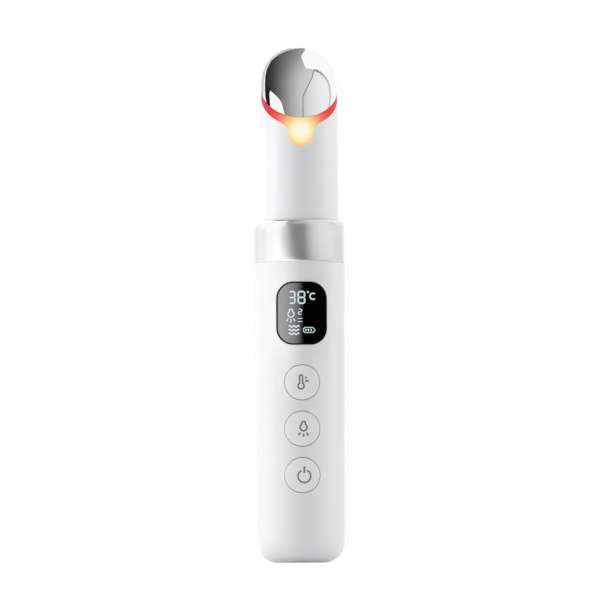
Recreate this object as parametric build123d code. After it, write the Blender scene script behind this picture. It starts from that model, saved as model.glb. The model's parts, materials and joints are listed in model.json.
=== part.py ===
from build123d import *
import os
from math import cos, radians, sin, sqrt, tan

# A pen-shaped heated eye massager: a white handle with a display and three push buttons, a bare
# aluminium collar, a slimmer white neck, a slanted ring of light with a drop-shaped lobe, and a
# polished, obliquely cut head that is warmed and shaken from inside.
# Millimetres. +Z runs up the wand, the origin is the centre of its flat base, and the display and
# the buttons face -Y.

# ---- Outside form ----
wand_length = 150.0            # base to crown
handle_height = 86.35
handle_radius = 13.0           # at the collar
handle_draft = 0.35            # how much slimmer the handle is at its base
base_corner_radius = 5.8
collar_height = 12.3
collar_slope = 0.7             # drop of the collar's top face, from the neck to its rim
collar_corner_radius = 1.5
neck_step = 2.0                # from the handle's surface in to the neck's
neck_root_flare = 0.27         # extra radius where the neck leaves the collar
neck_flare_length = 28.0
crown_height = 7.7             # of the dome on the axis, above the head's slanted foot
head_slant = 39.2              # degrees from level, rising towards the back
crown_power = 3.0              # 2 is an ellipse; more is squarer
crown_sections = 9
light_band_width = 2.45        # along Z
light_shoulder = 0.9           # the band's inner shoulder, along Z
lobe_radius = 3.55
lobe_drop = 13.78              # its centre, below the head's foot on the axis
lobe_flare_radius = 4.4        # the hollow curves that lead the lobe into the band
edge_break = 0.25

# ---- Walls ----
handle_wall = 1.6
floor_thickness = 2.0
neck_wall = 1.5
head_wall = 1.2
head_cavity_depth = 4.2        # from the slanted foot to the flat ceiling above it
head_skirt_thickness = 0.8
light_guide_thickness = 1.4

# ---- Clearances ----
seam_gap = 0.05                # glued or clamped faces
fit_gap = 0.10                 # pieces that are slid together
loose_gap = 0.20
running_gap = 0.03             # bearings
button_gap = 0.15              # round each button cap

# ---- Display ----
display_share = 0.8260         # height of the window's centre, in handle heights
lens_width = 14.5
lens_length = 18.1
lens_corner_radius = 4.8
lens_thickness = 0.9
lens_ledge = 0.9               # the lip that the lens is glued on
module_width = 12.6
module_length = 16.2
module_rim = 1.0               # round its glowing face
module_face_depth = 0.4
module_pins_per_side = 6
module_pin_radius = 0.3
module_pin_length = 0.5

# ---- Buttons ----
button_radius = 5.0
button_pitch_share = 0.1534    # spacing of the buttons, in handle heights
power_button_share = 0.2897    # height of the lowest button, in handle heights
button_sink = 0.05             # of the cap's middle, below the handle's surface
cap_face_radius = 18.0         # the caps are flatter than the handle
cap_wall = 1.0
cap_face_thickness = 1.3
cap_edge_radius = 0.25
flange_width = 0.9
flange_thickness = 0.7
bezel_width = 1.4              # the flat pad round each hole, behind the wall
bezel_depth = 3.65             # from the handle's surface to the pad's flat face
button_travel = 0.35
nub_radius = 1.3

# ---- Switches and boards ----
switch_size = 4.5
switch_body_height = 2.0
actuator_radius = 1.2
actuator_height = 0.7          # above the switch's body
actuator_depth = 0.7           # inside it
switch_foot_length = 0.8
switch_foot_width = 0.7
switch_foot_share = 0.66       # of the feet's offset, in half switch sizes
foot_thickness = 0.3           # of the soldered feet and legs
board_thickness = 1.0
board_inset = 4.0              # of the board's edges from the handle's sides
board_bottom = 15.6
board_screw_inset = 1.8
board_screw_rise = 2.9         # lower screws, above the board's lower edge
board_screw_drop = 2.8         # upper screws, below the display module
board_screw_length = 3.6
screw_radius = 0.8             # M1.6
screw_head_radius = 1.3
screw_head_height = 0.8
cross_length = 1.8
cross_width = 0.4
cross_depth = 0.4
boss_floor = 0.6               # of a boss, left closed under its screw hole
control_chip_width = 3.9
control_chip_length = 5.0
control_chip_height = 1.2
charge_chip_size = 3.0
charge_chip_height = 1.0
chip_legs_per_side = 4
chip_leg_length = 0.7
chip_leg_width = 0.4
coil_base_size = 4.0
coil_base_height = 0.6
coil_radius = 1.9
coil_height = 1.2

# ---- Charging socket ----
socket_width = 8.94
socket_depth = 3.26
socket_length = 7.35
socket_wall = 0.3
socket_sink = 0.4              # its mouth lies this far inside the base
tongue_width = 6.7
tongue_thickness = 0.7
tongue_length = 4.6
tongue_sink = 1.0              # of its tip, inside the socket's mouth
charge_board_width = 12.0
charge_board_length = 11.2

# ---- Battery ----
cell_gap = 0.25                # to the chassis in front of it
cell_drop = 13.85              # the cell's top, below the neck's spigot
cell_wall_gap = 0.65           # to the handle behind it
cell_pad_thickness = 1.0
cell_pad_inset = 0.6
cell_edge_radius = 0.5
cell_cap_height = 0.8

# ---- Chassis ----
chassis_gap = 0.6              # to the handle's wall
chassis_seat_height = 6.2
chassis_plate_thickness = 1.4
chassis_web_thickness = 0.7
rail_thickness = 1.0
rail_inset = 0.8               # from the neck's bore
rail_back = 2.0
chassis_window_width = 10.0
chassis_window_margin = 2.0
cell_shelf_height = 14.2
cell_shelf_thickness = 1.2
hoop_thickness = 1.4
hoop_first_height = 24.0
hoop_pitch = 18.0
hoop_count = 3
hoop_reach = 6.0               # how far back the hoops hold the cell
collar_ring_height = 8.6
collar_ring_thickness = 1.2
seat_rib_thickness = 1.2
seat_rib_depth = 3.2           # inside the handle's wall

# ---- Neck joint ----
spigot_length = 6.1
flange_step = 1.1              # from the handle's surface in to the flange
flange_length = 11.0
snap_arm_length = 9.5
snap_arm_width = 6.4
snap_barb_height = 2.0
snap_barb_reach = 0.45
ring_section_radius = 0.55     # of the sealing ring
ring_drop = 1.4                # its centre, below the handle's rim
chassis_screw_drop = 3.9
chassis_screw_length = 4.0
chassis_boss_radius = 1.6

# ---- Vibration motor and head mechanism ----
shelf_drop = 20.1              # top of the neck's inner shelf, below the head's foot on the axis
shelf_thickness = 1.6
shelf_width = 2.1
mount_plate_thickness = 2.0
mount_cup_wall = 0.85
mount_cup_length = 9.9
mount_slit_width = 1.2
mount_slit_margin = 2.0        # of unslit cup below the plate
motor_length = 12.0
motor_boss_radius = 1.6
motor_boss_height = 0.8
magnet_share = 0.175           # thickness of the magnet, in motor radii
brush_post_radius = 0.4
brush_post_gap = 0.6           # of its axis, from the commutator
end_cap_thickness = 1.4
shaft_radius = 0.75
magnet_gap = 0.25              # round the armature
magnet_length = 7.6
armature_length = 6.6
armature_slot_width = 0.7
armature_poles = 3
commutator_length = 1.1
weight_clearance = 0.6         # to the head's screw bosses
weight_hub_radius = 1.5
weight_length = 5.0
weight_rise = 1.3              # above the light board
tie_boss_radius = 1.5
tie_boss_drop = 6.6            # lower end of the head's screw bosses, below its foot on the axis
tie_screw_grip = 3.0           # length of thread in the bosses
head_gasket_thickness = 0.2
head_gasket_recess = 0.2

# ---- Light board ----
light_board_thickness = 1.0
light_board_hole_radius = 1.6
led_length = 2.0
led_width = 1.1
led_height = 0.8
red_led_count = 7
amber_led_spread = 28.0        # degrees between the two amber lamps at the front

# ---- Heater ----
heater_side_gap = 4.1          # from the head's skirt
heater_end_gap = 2.1
heater_corner_radius = 2.0
heater_thickness = 1.0
heater_tail_width = 2.4
heater_tail_thickness = 0.3
heater_tail_clearance = 0.5    # to the weight
bead_radius = 0.6
bead_length = 2.2
bead_rounding = 0.8            # of its ends, in bead radii

# ---- Leads ----
lead_radius = 0.45
lead_bend = 1.6
battery_lead_spacing = 4.0
battery_lead_rise = 6.6
charge_lead_spacing = 2.4
charge_lead_height = 12.0
motor_lead_drop = 5.9          # below the neck's spigot
motor_lead_share = 1.5         # their spacing, in motor radii
ribbon_thickness = 0.35
ribbon_inset = 2.5             # from the neck's bore
ribbon_rise = 3.0              # above the motor's leads
ribbon_bend = 2.2

# ---- Worked out from the sizes above ----
collar_top = handle_height + collar_height
neck_radius = handle_radius - neck_step
neck_bore_radius = neck_radius - neck_wall
flange_radius = handle_radius - flange_step

# The highest point of a slanted super-ellipse follows from the dual power of its outline.
slope = tan(radians(head_slant))
dual_power = crown_power / (crown_power - 1)
head_rise = (crown_height ** dual_power + (slope * neck_radius) ** dual_power) ** (1 / dual_power)
head_seam_height = wand_length - head_rise
lobe_height = head_seam_height - lobe_drop
shelf_height = head_seam_height - shelf_drop
tie_boss_height = head_seam_height - tie_boss_drop
tie_screw_end = tie_boss_height + tie_screw_grip
spigot_bottom = handle_height - spigot_length
spigot_radius = handle_radius - handle_wall - fit_gap - handle_draft * spigot_length / handle_height
chassis_ring_radius = neck_bore_radius - fit_gap
chassis_radius = handle_radius - handle_wall - chassis_gap
rail_outer = chassis_ring_radius - rail_inset
seat_rib_inner_radius = handle_radius - handle_wall - seat_rib_depth
shelf_radius = neck_bore_radius - shelf_width
ribbon_offset = neck_bore_radius - ribbon_inset

display_height = display_share * handle_height
button_pitch = button_pitch_share * handle_height
power_button_height = power_button_share * handle_height
button_heights = {
    "power": power_button_height,
    "light": power_button_height + button_pitch,
    "temperature": power_button_height + 2 * button_pitch,
}
bezel_face = -handle_radius + bezel_depth
cap_flange_front = bezel_face + seam_gap
cap_flange_back = cap_flange_front + flange_thickness
actuator_front = cap_flange_back + actuator_height
switch_front = actuator_front + actuator_height
board_front = switch_front + switch_body_height
board_back = board_front + board_thickness
board_top = spigot_bottom - 2 * loose_gap
board_screw_heights = (
    board_bottom + board_screw_rise,
    display_height - module_length / 2 - board_screw_drop,
)
board_width = 2 * (handle_radius - board_inset)
board_screw_x = board_width / 2 - board_screw_inset

band_top = head_seam_height - head_gasket_thickness
band_bottom = band_top - light_band_width
sleeve_radius = neck_bore_radius - fit_gap
sleeve_bore = sleeve_radius - light_guide_thickness
skirt_radius = neck_bore_radius - fit_gap
skirt_bore = skirt_radius - head_skirt_thickness
tie_screw_offset = sleeve_bore - loose_gap - tie_boss_radius
weight_radius = tie_screw_offset - tie_boss_radius - weight_clearance
heater_tail_offset = weight_radius + heater_tail_clearance
mount_cup_radius = tie_screw_offset - screw_head_radius - fit_gap
motor_radius = mount_cup_radius - mount_cup_wall - seam_gap
motor_wall = motor_radius / 10
magnet_radius = motor_radius - motor_wall - seam_gap
magnet_thickness = magnet_share * motor_radius
armature_radius = magnet_radius - magnet_thickness - magnet_gap
commutator_radius = armature_radius / 2
heater_width = 2 * (skirt_bore - heater_side_gap)
heater_length = 2 * (skirt_bore - heater_end_gap)
motor_lead_spacing = motor_lead_share * motor_radius
motor_lead_offset = motor_radius / 2
ribbon_width = motor_lead_spacing - 2 * (lead_radius + seam_gap)

light_board_top = shelf_height + light_board_thickness
sleeve_bottom = light_board_top + led_height + loose_gap
mount_top = shelf_height - shelf_thickness
mount_bottom = mount_top - mount_plate_thickness
motor_bottom = mount_bottom - motor_length
weight_bottom = light_board_top + weight_rise
weight_top = weight_bottom + weight_length

charge_board_front = socket_depth / 2
charge_board_bottom = floor_thickness + 2 * loose_gap
charge_board_top = charge_board_bottom + charge_board_length
cell_front = board_back + chassis_web_thickness + cell_gap
cell_back = handle_radius - handle_wall - cell_wall_gap
cell_radius = (cell_back - cell_front) / 2
cell_offset = (cell_back + cell_front) / 2
cell_pad_radius = cell_radius - cell_pad_inset
cell_bottom = cell_shelf_height + cell_shelf_thickness + cell_pad_thickness
cell_top = spigot_bottom - cell_drop
motor_lead_height = spigot_bottom - motor_lead_drop
ribbon_height = motor_lead_height + ribbon_rise

reach = 4 * handle_radius      # longer than anything that it cuts through


# ---- Small helpers ----
def disc(radius, bottom, top):
    """A round bar on the wand's axis."""
    return Pos(0, 0, bottom) * Cylinder(radius, top - bottom, align=(Align.CENTER, Align.CENTER, Align.MIN))


def tube(outer, inner, bottom, top):
    """A round tube on the wand's axis."""
    return disc(outer, bottom, top) - disc(inner, bottom - 1, top + 1)


def rod_y(radius, front, back, x, z):
    """A round bar that runs from front to back."""
    bar = Cylinder(radius, back - front, align=(Align.CENTER, Align.CENTER, Align.MIN))
    return Pos(x, front, z) * Rot(-90, 0, 0) * bar


def rod_x(radius, left, right, y, z):
    """A round bar that runs from left to right."""
    bar = Cylinder(radius, right - left, align=(Align.CENTER, Align.CENTER, Align.MIN))
    return Pos(left, y, z) * Rot(0, 90, 0) * bar


def rod_z(radius, bottom, top, x, y):
    """An upright round bar beside the axis."""
    return Pos(x, y, 0) * disc(radius, bottom, top)


def block(x_low, x_high, y_low, y_high, z_low, z_high):
    """A box given by its limits."""
    box = Box(x_high - x_low, y_high - y_low, z_high - z_low, align=(Align.MIN, Align.MIN, Align.MIN))
    return Pos(x_low, y_low, z_low) * box


def turned(outline):
    """An outline of radius and height, turned about the wand's axis."""
    return revolve(Plane.XZ * outline, Axis.Z)


def front_prism(outline, front, back):
    """An outline drawn as seen from the front, carried from front to back."""
    return extrude(Plane.XZ.offset(-back) * outline, amount=back - front)


def rounded_slot(width, length, corner, bottom, top):
    """An upright bar with a rounded rectangular section."""
    return extrude(Pos(0, 0, bottom) * RectangleRounded(width, length, corner), amount=top - bottom)


def under_slant(height):
    """All that lies under the head's slant, where it crosses the axis at a height."""
    side = 2 * neck_radius
    low = -reach
    outline = Polyline(
        (-side, low),
        (side, low),
        (side, height + slope * side),
        (-side, height - slope * side),
        close=True,
    )
    return extrude(Plane.YZ * make_face(outline), amount=side, both=True)


def slanted_ellipse(radius, height):
    """Where a round tube on the axis crosses the slanted plane at a height."""
    tilt = radians(head_slant)
    plane = Plane(origin=(0, 0, height), x_dir=(1, 0, 0), z_dir=(0, -sin(tilt), cos(tilt)))
    return (plane * Ellipse(radius, radius / cos(tilt))).face()


# ---- Handle ----
def handle_radius_at(height):
    """Outer radius of the handle at a height on its drafted side."""
    return handle_radius - handle_draft * (1 - height / handle_height)


def handle_form(inset, bottom):
    """The handle's solid of revolution, smaller by an inset all round."""
    outline = make_face(
        Polyline(
            (0, bottom),
            (handle_radius_at(bottom) - inset, bottom),
            (handle_radius - inset, handle_height),
            (0, handle_height),
            close=True,
        )
    )
    corner = outline.vertices().sort_by(Axis.Y)[:2].sort_by(Axis.X)[-1]
    return turned(fillet(corner, base_corner_radius - inset))


def button_bezel(height):
    """The flat-faced pad behind the wall that a button's flange rests against."""
    pad = rod_y(button_radius + bezel_width, -handle_radius, bezel_face, 0, height)
    return pad & handle_form(handle_wall / 2, floor_thickness)


def snap_pockets():
    """The two pockets in the wall for the barbs of the neck's snap arms."""
    bottom = spigot_bottom - snap_arm_length + snap_barb_height / 2 - loose_gap
    top = bottom + snap_barb_height + 2 * loose_gap
    half = snap_arm_width / 2 + 2 * loose_gap
    ring = tube(spigot_radius + snap_barb_reach + loose_gap, spigot_radius - 1, bottom, top)
    return ring & block(-reach, reach, -half, half, bottom, top)


def handle_shell():
    """One moulded cup with the window's recess, three button holes and the socket's mouth."""
    shell = handle_form(0, 0)
    shell = fillet(shell.edges().filter_by(GeomType.CIRCLE).group_by(Axis.Z)[-1], edge_break)
    shell -= handle_form(handle_wall, floor_thickness)
    shell -= disc(handle_radius - handle_wall, handle_height - edge_break, handle_height + 1)
    for height in button_heights.values():
        shell += button_bezel(height)
    for height in button_heights.values():
        shell -= rod_y(button_radius + button_gap, -reach, bezel_face + 1, 0, height)
    recess = front_prism(lens_outline(seam_gap), -reach, 0)
    shell -= Pos(0, 0, display_height) * recess - handle_form(lens_thickness + seam_gap, floor_thickness)
    shell -= Pos(0, 0, display_height) * front_prism(lens_outline(-lens_ledge), -reach, 0)
    shell -= rounded_slot(
        socket_width + 2 * fit_gap,
        socket_depth + 2 * fit_gap,
        socket_depth / 2 - fit_gap,
        -1,
        floor_thickness + 1,
    )
    for turn in (45, 135, 225, 315):
        rib = block(
            seat_rib_inner_radius,
            handle_radius,
            -seat_rib_thickness / 2,
            seat_rib_thickness / 2,
            floor_thickness / 2,
            chassis_seat_height,
        )
        shell += Rot(0, 0, turn) * rib & handle_form(handle_wall / 2, floor_thickness / 2)
    return shell - snap_pockets()


# ---- Display ----
def lens_outline(extra):
    """The window's rounded outline, grown by a margin."""
    return RectangleRounded(
        lens_width + 2 * extra,
        lens_length + 2 * extra,
        lens_corner_radius + extra,
    )


def display_lens():
    """The window: a curved, glossy tile that is flush with the handle."""
    tile = Pos(0, 0, display_height) * front_prism(lens_outline(0), -reach, 0)
    return tile & (handle_form(0, 0) - handle_form(lens_thickness, floor_thickness))


def display_module():
    """The lamp module behind the window, standing on the main board by its pins."""
    front = -sqrt((handle_radius - handle_wall - loose_gap) ** 2 - (module_width / 2) ** 2)
    frame = block(
        -module_width / 2,
        module_width / 2,
        front,
        board_front - loose_gap,
        display_height - module_length / 2,
        display_height + module_length / 2,
    )
    cell = block(
        -module_width / 2 + module_rim,
        module_width / 2 - module_rim,
        front - 1,
        front + module_face_depth,
        display_height - module_length / 2 + module_rim,
        display_height + module_length / 2 - module_rim,
    )
    module = frame - cell
    pin_pitch = module_length / (module_pins_per_side + 1)
    pin_front = board_front - loose_gap - module_pin_length
    for x in (-module_width / 2 + module_rim, module_width / 2 - module_rim):
        for step in range(module_pins_per_side):
            z = display_height + (step - (module_pins_per_side - 1) / 2) * pin_pitch
            module += rod_y(module_pin_radius, pin_front, board_front, x, z)
    return module


# ---- Collar ----
def collar_ring():
    """The metal ring between handle and neck, held by its lip over the neck's flange."""
    lip_radius = neck_radius + neck_root_flare + fit_gap
    lip_bottom = handle_height + flange_length + fit_gap
    outline = make_face(
        Polyline(
            (flange_radius + fit_gap, handle_height),
            (handle_radius, handle_height),
            (handle_radius, collar_top - collar_slope),
            (lip_radius, collar_top),
            (lip_radius, lip_bottom),
            (flange_radius + fit_gap, lip_bottom),
            close=True,
        )
    )
    corner_radius = min(collar_corner_radius, handle_radius - lip_radius - fit_gap)
    outer = outline.vertices().group_by(Axis.X)[-1]
    outline = fillet(outer.sort_by(Axis.Y)[-1], corner_radius)
    outer = outline.vertices().group_by(Axis.X)[-1]
    outline = fillet(outer.sort_by(Axis.Y)[0], edge_break)
    return turned(outline)


# ---- Neck ----
def teardrop(extra):
    """The lobe's outline, from a round drop up through two hollow curves into the light band.

    The band's lower edge, seen from the front, is close to an arc; each hollow curve touches
    that arc and the drop from outside.
    """
    edge_radius = neck_radius / slope + extra
    edge_middle = band_bottom - slope * neck_radius - extra + edge_radius
    drop_radius = lobe_radius + extra
    flare = lobe_flare_radius - extra
    rise = edge_middle - lobe_height
    flare_z = ((drop_radius + flare) ** 2 - (edge_radius + flare) ** 2 + rise ** 2) / (2 * rise)
    flare_x = sqrt((drop_radius + flare) ** 2 - flare_z ** 2)
    centre = Vector(flare_x, lobe_height + flare_z)
    low = centre + (Vector(0, lobe_height) - centre).normalized() * flare
    high = centre + (Vector(0, edge_middle) - centre).normalized() * flare
    middle = centre + ((low + high) / 2 - centre).normalized() * flare
    top = high.Y + light_band_width / 2
    right = ThreePointArc(low, middle, high)
    drop = ThreePointArc((-low.X, low.Y), (0, lobe_height - drop_radius), low)
    head = Polyline(high, (high.X, top), (-high.X, top), (-high.X, high.Y))
    return make_face([drop, right, head, mirror(right, Plane.YZ)])


def snap_arms():
    """The two springy tongues below the spigot, with a barb each for the handle's pockets."""
    bottom = spigot_bottom - snap_arm_length
    barb_bottom = bottom + snap_barb_height / 2
    half = snap_arm_width / 2
    arms = tube(spigot_radius, neck_bore_radius, bottom, spigot_bottom + 1)
    barb_top = barb_bottom + snap_barb_height
    arms += tube(spigot_radius + snap_barb_reach, neck_bore_radius, barb_bottom, barb_top)
    return arms & block(-reach, reach, -half, half, bottom, spigot_bottom + 1)


def neck_shell():
    """The moulded neck: spigot, flange and a tube that ends in the slanted, notched rim."""
    flange_top = handle_height + flange_length
    outline = make_face(
        Polyline(
            (neck_bore_radius, spigot_bottom),
            (spigot_radius, spigot_bottom),
            (spigot_radius, handle_height),
            (flange_radius, handle_height),
            (flange_radius, flange_top),
            (neck_radius + neck_root_flare, flange_top),
            (neck_radius + neck_root_flare, collar_top),
            (neck_radius, collar_top + neck_flare_length),
            (neck_radius, wand_length),
            (neck_bore_radius, wand_length),
            close=True,
        )
    )
    neck = turned(outline) & under_slant(band_bottom - seam_gap)
    neck -= front_prism(teardrop(seam_gap), -reach, 0)
    neck += tube(neck_bore_radius + neck_wall / 3, shelf_radius, mount_top, shelf_height)
    neck -= ribbon_notch(mount_top - 1, shelf_height + 1)
    neck += snap_arms()
    ring_height = handle_height - ring_drop
    groove_half = ring_section_radius + fit_gap
    neck -= tube(
        spigot_radius + 1,
        spigot_radius - 2 * ring_section_radius,
        ring_height - groove_half,
        ring_height + groove_half,
    )
    screw_height = handle_height - chassis_screw_drop
    neck -= rod_x(screw_radius + fit_gap, -reach, reach, 0, screw_height)
    seat = spigot_radius - screw_head_height - fit_gap
    neck -= rod_x(screw_head_radius + fit_gap, seat, reach, 0, screw_height)
    neck -= rod_x(screw_head_radius + fit_gap, -reach, -seat, 0, screw_height)
    return neck


def neck_seal():
    """The rubber ring in the spigot's groove."""
    middle = spigot_radius - ring_section_radius + fit_gap / 2
    return Pos(0, 0, handle_height - ring_drop) * Torus(middle, ring_section_radius)


def ribbon_notch(bottom, top):
    """Room for the ribbon that climbs the back of the neck."""
    half = ribbon_width / 2 + loose_gap
    low = ribbon_offset - ribbon_thickness / 2 - loose_gap
    return block(-half, half, low, low + ribbon_thickness + neck_wall, bottom, top)


# ---- Light guide ----
def light_guide():
    """The frosted ring: a slanted band, a sleeve down to the lamps, and the drop-shaped lobe."""
    band = tube(neck_radius, neck_bore_radius, shelf_height, wand_length)
    band = band & under_slant(band_top) - under_slant(band_bottom)
    foot = tube(neck_radius, sleeve_bore, shelf_height, wand_length)
    foot = foot & under_slant(band_bottom + light_shoulder) - under_slant(band_bottom)
    sleeve = tube(sleeve_radius, sleeve_bore, sleeve_bottom, wand_length)
    sleeve = sleeve & under_slant(band_bottom + light_shoulder / 2)
    lobe = front_prism(teardrop(0), -reach, 0)
    lobe = lobe & tube(neck_radius, sleeve_radius - fit_gap, sleeve_bottom, wand_length)
    return band + foot + sleeve + (lobe & under_slant(band_bottom + light_shoulder))


# ---- Head ----
def crown():
    """The slanted dome, lofted through parallel ellipses that shrink along a super-ellipse."""
    sections = []
    for step in range(crown_sections):
        angle = radians(90 * step / crown_sections)
        radius = neck_radius * cos(angle) ** (2 / crown_power)
        rise = crown_height * sin(angle) ** (2 / crown_power)
        sections.append(slanted_ellipse(radius, head_seam_height + rise))
    sections.append(Vertex(0, 0, head_seam_height + crown_height))
    return loft(sections)


def massage_head():
    """The polished cap: a dome bored from below to a flat ceiling, with a skirt and screw bosses."""
    ceiling = head_seam_height + head_cavity_depth
    cap = crown() - (disc(skirt_bore, shelf_height, wand_length) & under_slant(ceiling))
    skirt = tube(skirt_radius, skirt_bore, shelf_height, wand_length)
    skirt = skirt & under_slant(head_seam_height + head_wall)
    skirt_depth = head_gasket_thickness + light_band_width - light_shoulder - fit_gap
    cap += skirt - under_slant(head_seam_height - skirt_depth)
    for side in (-1, 1):
        boss = rod_z(tie_boss_radius, tie_boss_height, wand_length, side * tie_screw_offset, 0)
        cap += boss & under_slant(ceiling + head_wall / 2)
    for side in (-1, 1):
        cap -= rod_z(
            screw_radius + running_gap,
            tie_boss_height - 1,
            tie_screw_end + loose_gap,
            side * tie_screw_offset,
            0,
        )
    return cap


def head_seal():
    """The thin dark gasket between the light band and the head."""
    ring = tube(neck_radius - head_gasket_recess, skirt_radius + fit_gap, shelf_height, wand_length)
    return ring & under_slant(head_seam_height) - under_slant(band_top)


def heater_plate():
    """The flat heater on the head's slanted ceiling, with its tail down to the light board."""
    top = head_seam_height + head_cavity_depth - seam_gap
    plan = RectangleRounded(heater_width, heater_length, heater_corner_radius)
    plate = extrude(Pos(0, 0, shelf_height) * plan, amount=wand_length)
    plate = plate & under_slant(top) - under_slant(top - heater_thickness)
    tail = block(
        -heater_tail_width / 2,
        heater_tail_width / 2,
        heater_tail_offset,
        heater_tail_offset + heater_tail_thickness,
        light_board_top,
        wand_length,
    )
    return plate + (tail & under_slant(top - heater_thickness / 2))


def thermistor():
    """The glass bead that reads the head's temperature, against the middle of the heater."""
    under = head_seam_height + head_cavity_depth - seam_gap - heater_thickness
    drop = (bead_radius + seam_gap) / cos(radians(head_slant))
    bead = Pos(0, 0, under - drop) * Rot(0, 90, 0) * Cylinder(bead_radius, bead_length)
    return fillet(bead.edges().filter_by(GeomType.CIRCLE), bead_radius * bead_rounding)


# ---- Light board and lamps ----
def light_board():
    """The ring-shaped board on the neck's shelf, under the sleeve of the light guide."""
    board = tube(sleeve_radius, light_board_hole_radius, shelf_height, light_board_top)
    for side in (-1, 1):
        x = side * tie_screw_offset
        board -= rod_z(screw_radius + fit_gap, shelf_height - 1, light_board_top + 1, x, 0)
    return board


def lamp(turn):
    """One surface-mount lamp under the sleeve, at an angle from the front."""
    middle = (sleeve_radius + sleeve_bore) / 2
    body = block(
        -led_length / 2,
        led_length / 2,
        -middle - led_width / 2,
        -middle + led_width / 2,
        light_board_top,
        light_board_top + led_height,
    )
    return Rot(0, 0, turn) * body


def amber_leds():
    """The two amber lamps behind the lobe."""
    half = amber_led_spread / 2
    return Compound([lamp(-half), lamp(half)])


def red_leds():
    """The red lamps, evenly spaced round the rest of the ring."""
    free = 360 - amber_led_spread
    step = free / (red_led_count + 1)
    return Compound([lamp(amber_led_spread / 2 + step * (index + 1)) for index in range(red_led_count)])


# ---- Motor ----
def motor_mount():
    """The plate under the neck's shelf, with the cup that grips the motor."""
    mount = disc(sleeve_radius, mount_bottom, mount_top)
    cup_radius = motor_radius + seam_gap
    cup_bottom = mount_bottom - mount_cup_length
    mount += tube(mount_cup_radius, cup_radius, cup_bottom, mount_bottom + mount_plate_thickness / 2)
    mount -= disc(cup_radius, cup_bottom - 1, mount_bottom)
    mount -= disc(motor_boss_radius + fit_gap, mount_bottom - 1, mount_top + 1)
    for side in (-1, 1):
        x = side * tie_screw_offset
        mount -= rod_z(screw_radius + fit_gap, mount_bottom - 1, mount_top + 1, x, 0)
    half = mount_slit_width / 2
    slit = block(-half, half, -reach, reach, cup_bottom - 1, mount_bottom - mount_slit_margin)
    return mount - slit - ribbon_notch(mount_bottom - 1, mount_top + 1)


def motor_can():
    """The drawn steel can with the front bearing in its nose."""
    can = disc(motor_radius, motor_bottom, mount_bottom)
    can += disc(motor_boss_radius, mount_bottom, mount_bottom + motor_boss_height)
    can -= disc(motor_radius - motor_wall, motor_bottom - 1, mount_bottom - 2 * motor_wall)
    return can - disc(shaft_radius + running_gap, motor_bottom, mount_top)


def motor_magnet():
    """The ring magnet inside the can."""
    top = mount_bottom - 2 * motor_wall - loose_gap
    return tube(magnet_radius, magnet_radius - magnet_thickness, top - magnet_length, top)


def motor_end_cap():
    """The plastic cap with the rear bearing and two brush posts."""
    top = motor_bottom + end_cap_thickness
    cap = disc(magnet_radius, motor_bottom, top)
    for side in (-1, 1):
        x = side * (commutator_radius + brush_post_gap)
        cap += rod_z(brush_post_radius, motor_bottom, top + commutator_length, x, 0)
    return cap - disc(shaft_radius + running_gap, motor_bottom + end_cap_thickness / 3, top + 1)


def motor_shaft():
    """The steel shaft from the rear bearing to the weight."""
    return disc(shaft_radius, motor_bottom + end_cap_thickness / 3 + running_gap, weight_top)


def motor_armature():
    """The wound core with its slots, and the commutator below it."""
    top = mount_bottom - 2 * motor_wall - loose_gap - (magnet_length - armature_length) / 2
    bottom = top - armature_length
    core = disc(armature_radius, bottom, top)
    for index in range(armature_poles):
        slot = block(
            armature_radius / 2,
            armature_radius + 1,
            -armature_slot_width / 2,
            armature_slot_width / 2,
            bottom - 1,
            top + 1,
        )
        core -= Rot(0, 0, index * 360 / armature_poles) * slot
    core += disc(commutator_radius, bottom - commutator_length, bottom)
    return core - disc(shaft_radius, motor_bottom, wand_length)


def eccentric_weight():
    """The half-round weight that shakes the head as it spins."""
    weight = disc(weight_radius, weight_bottom, weight_top)
    weight -= block(-reach, reach, 0, reach, weight_bottom - 1, weight_top + 1)
    weight += disc(weight_hub_radius, weight_bottom, weight_top)
    return weight - disc(shaft_radius, weight_bottom - 1, weight_top + 1)


def cross_slot():
    """The cross that is cut into a screw's head, about the middle of its outer face."""
    deep = 2 * cross_depth
    return Box(cross_length, cross_width, deep) + Box(cross_width, cross_length, deep)


def tie_screws():
    """The two long screws that clamp mount, neck, light board and head together."""
    screws = []
    for side in (-1, 1):
        x = side * tie_screw_offset
        shank = rod_z(screw_radius, mount_bottom, tie_screw_end, x, 0)
        head = rod_z(screw_head_radius, mount_bottom - screw_head_height, mount_bottom, x, 0)
        screws.append(shank + head - Pos(x, 0, mount_bottom - screw_head_height) * cross_slot())
    return Compound(screws)


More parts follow.
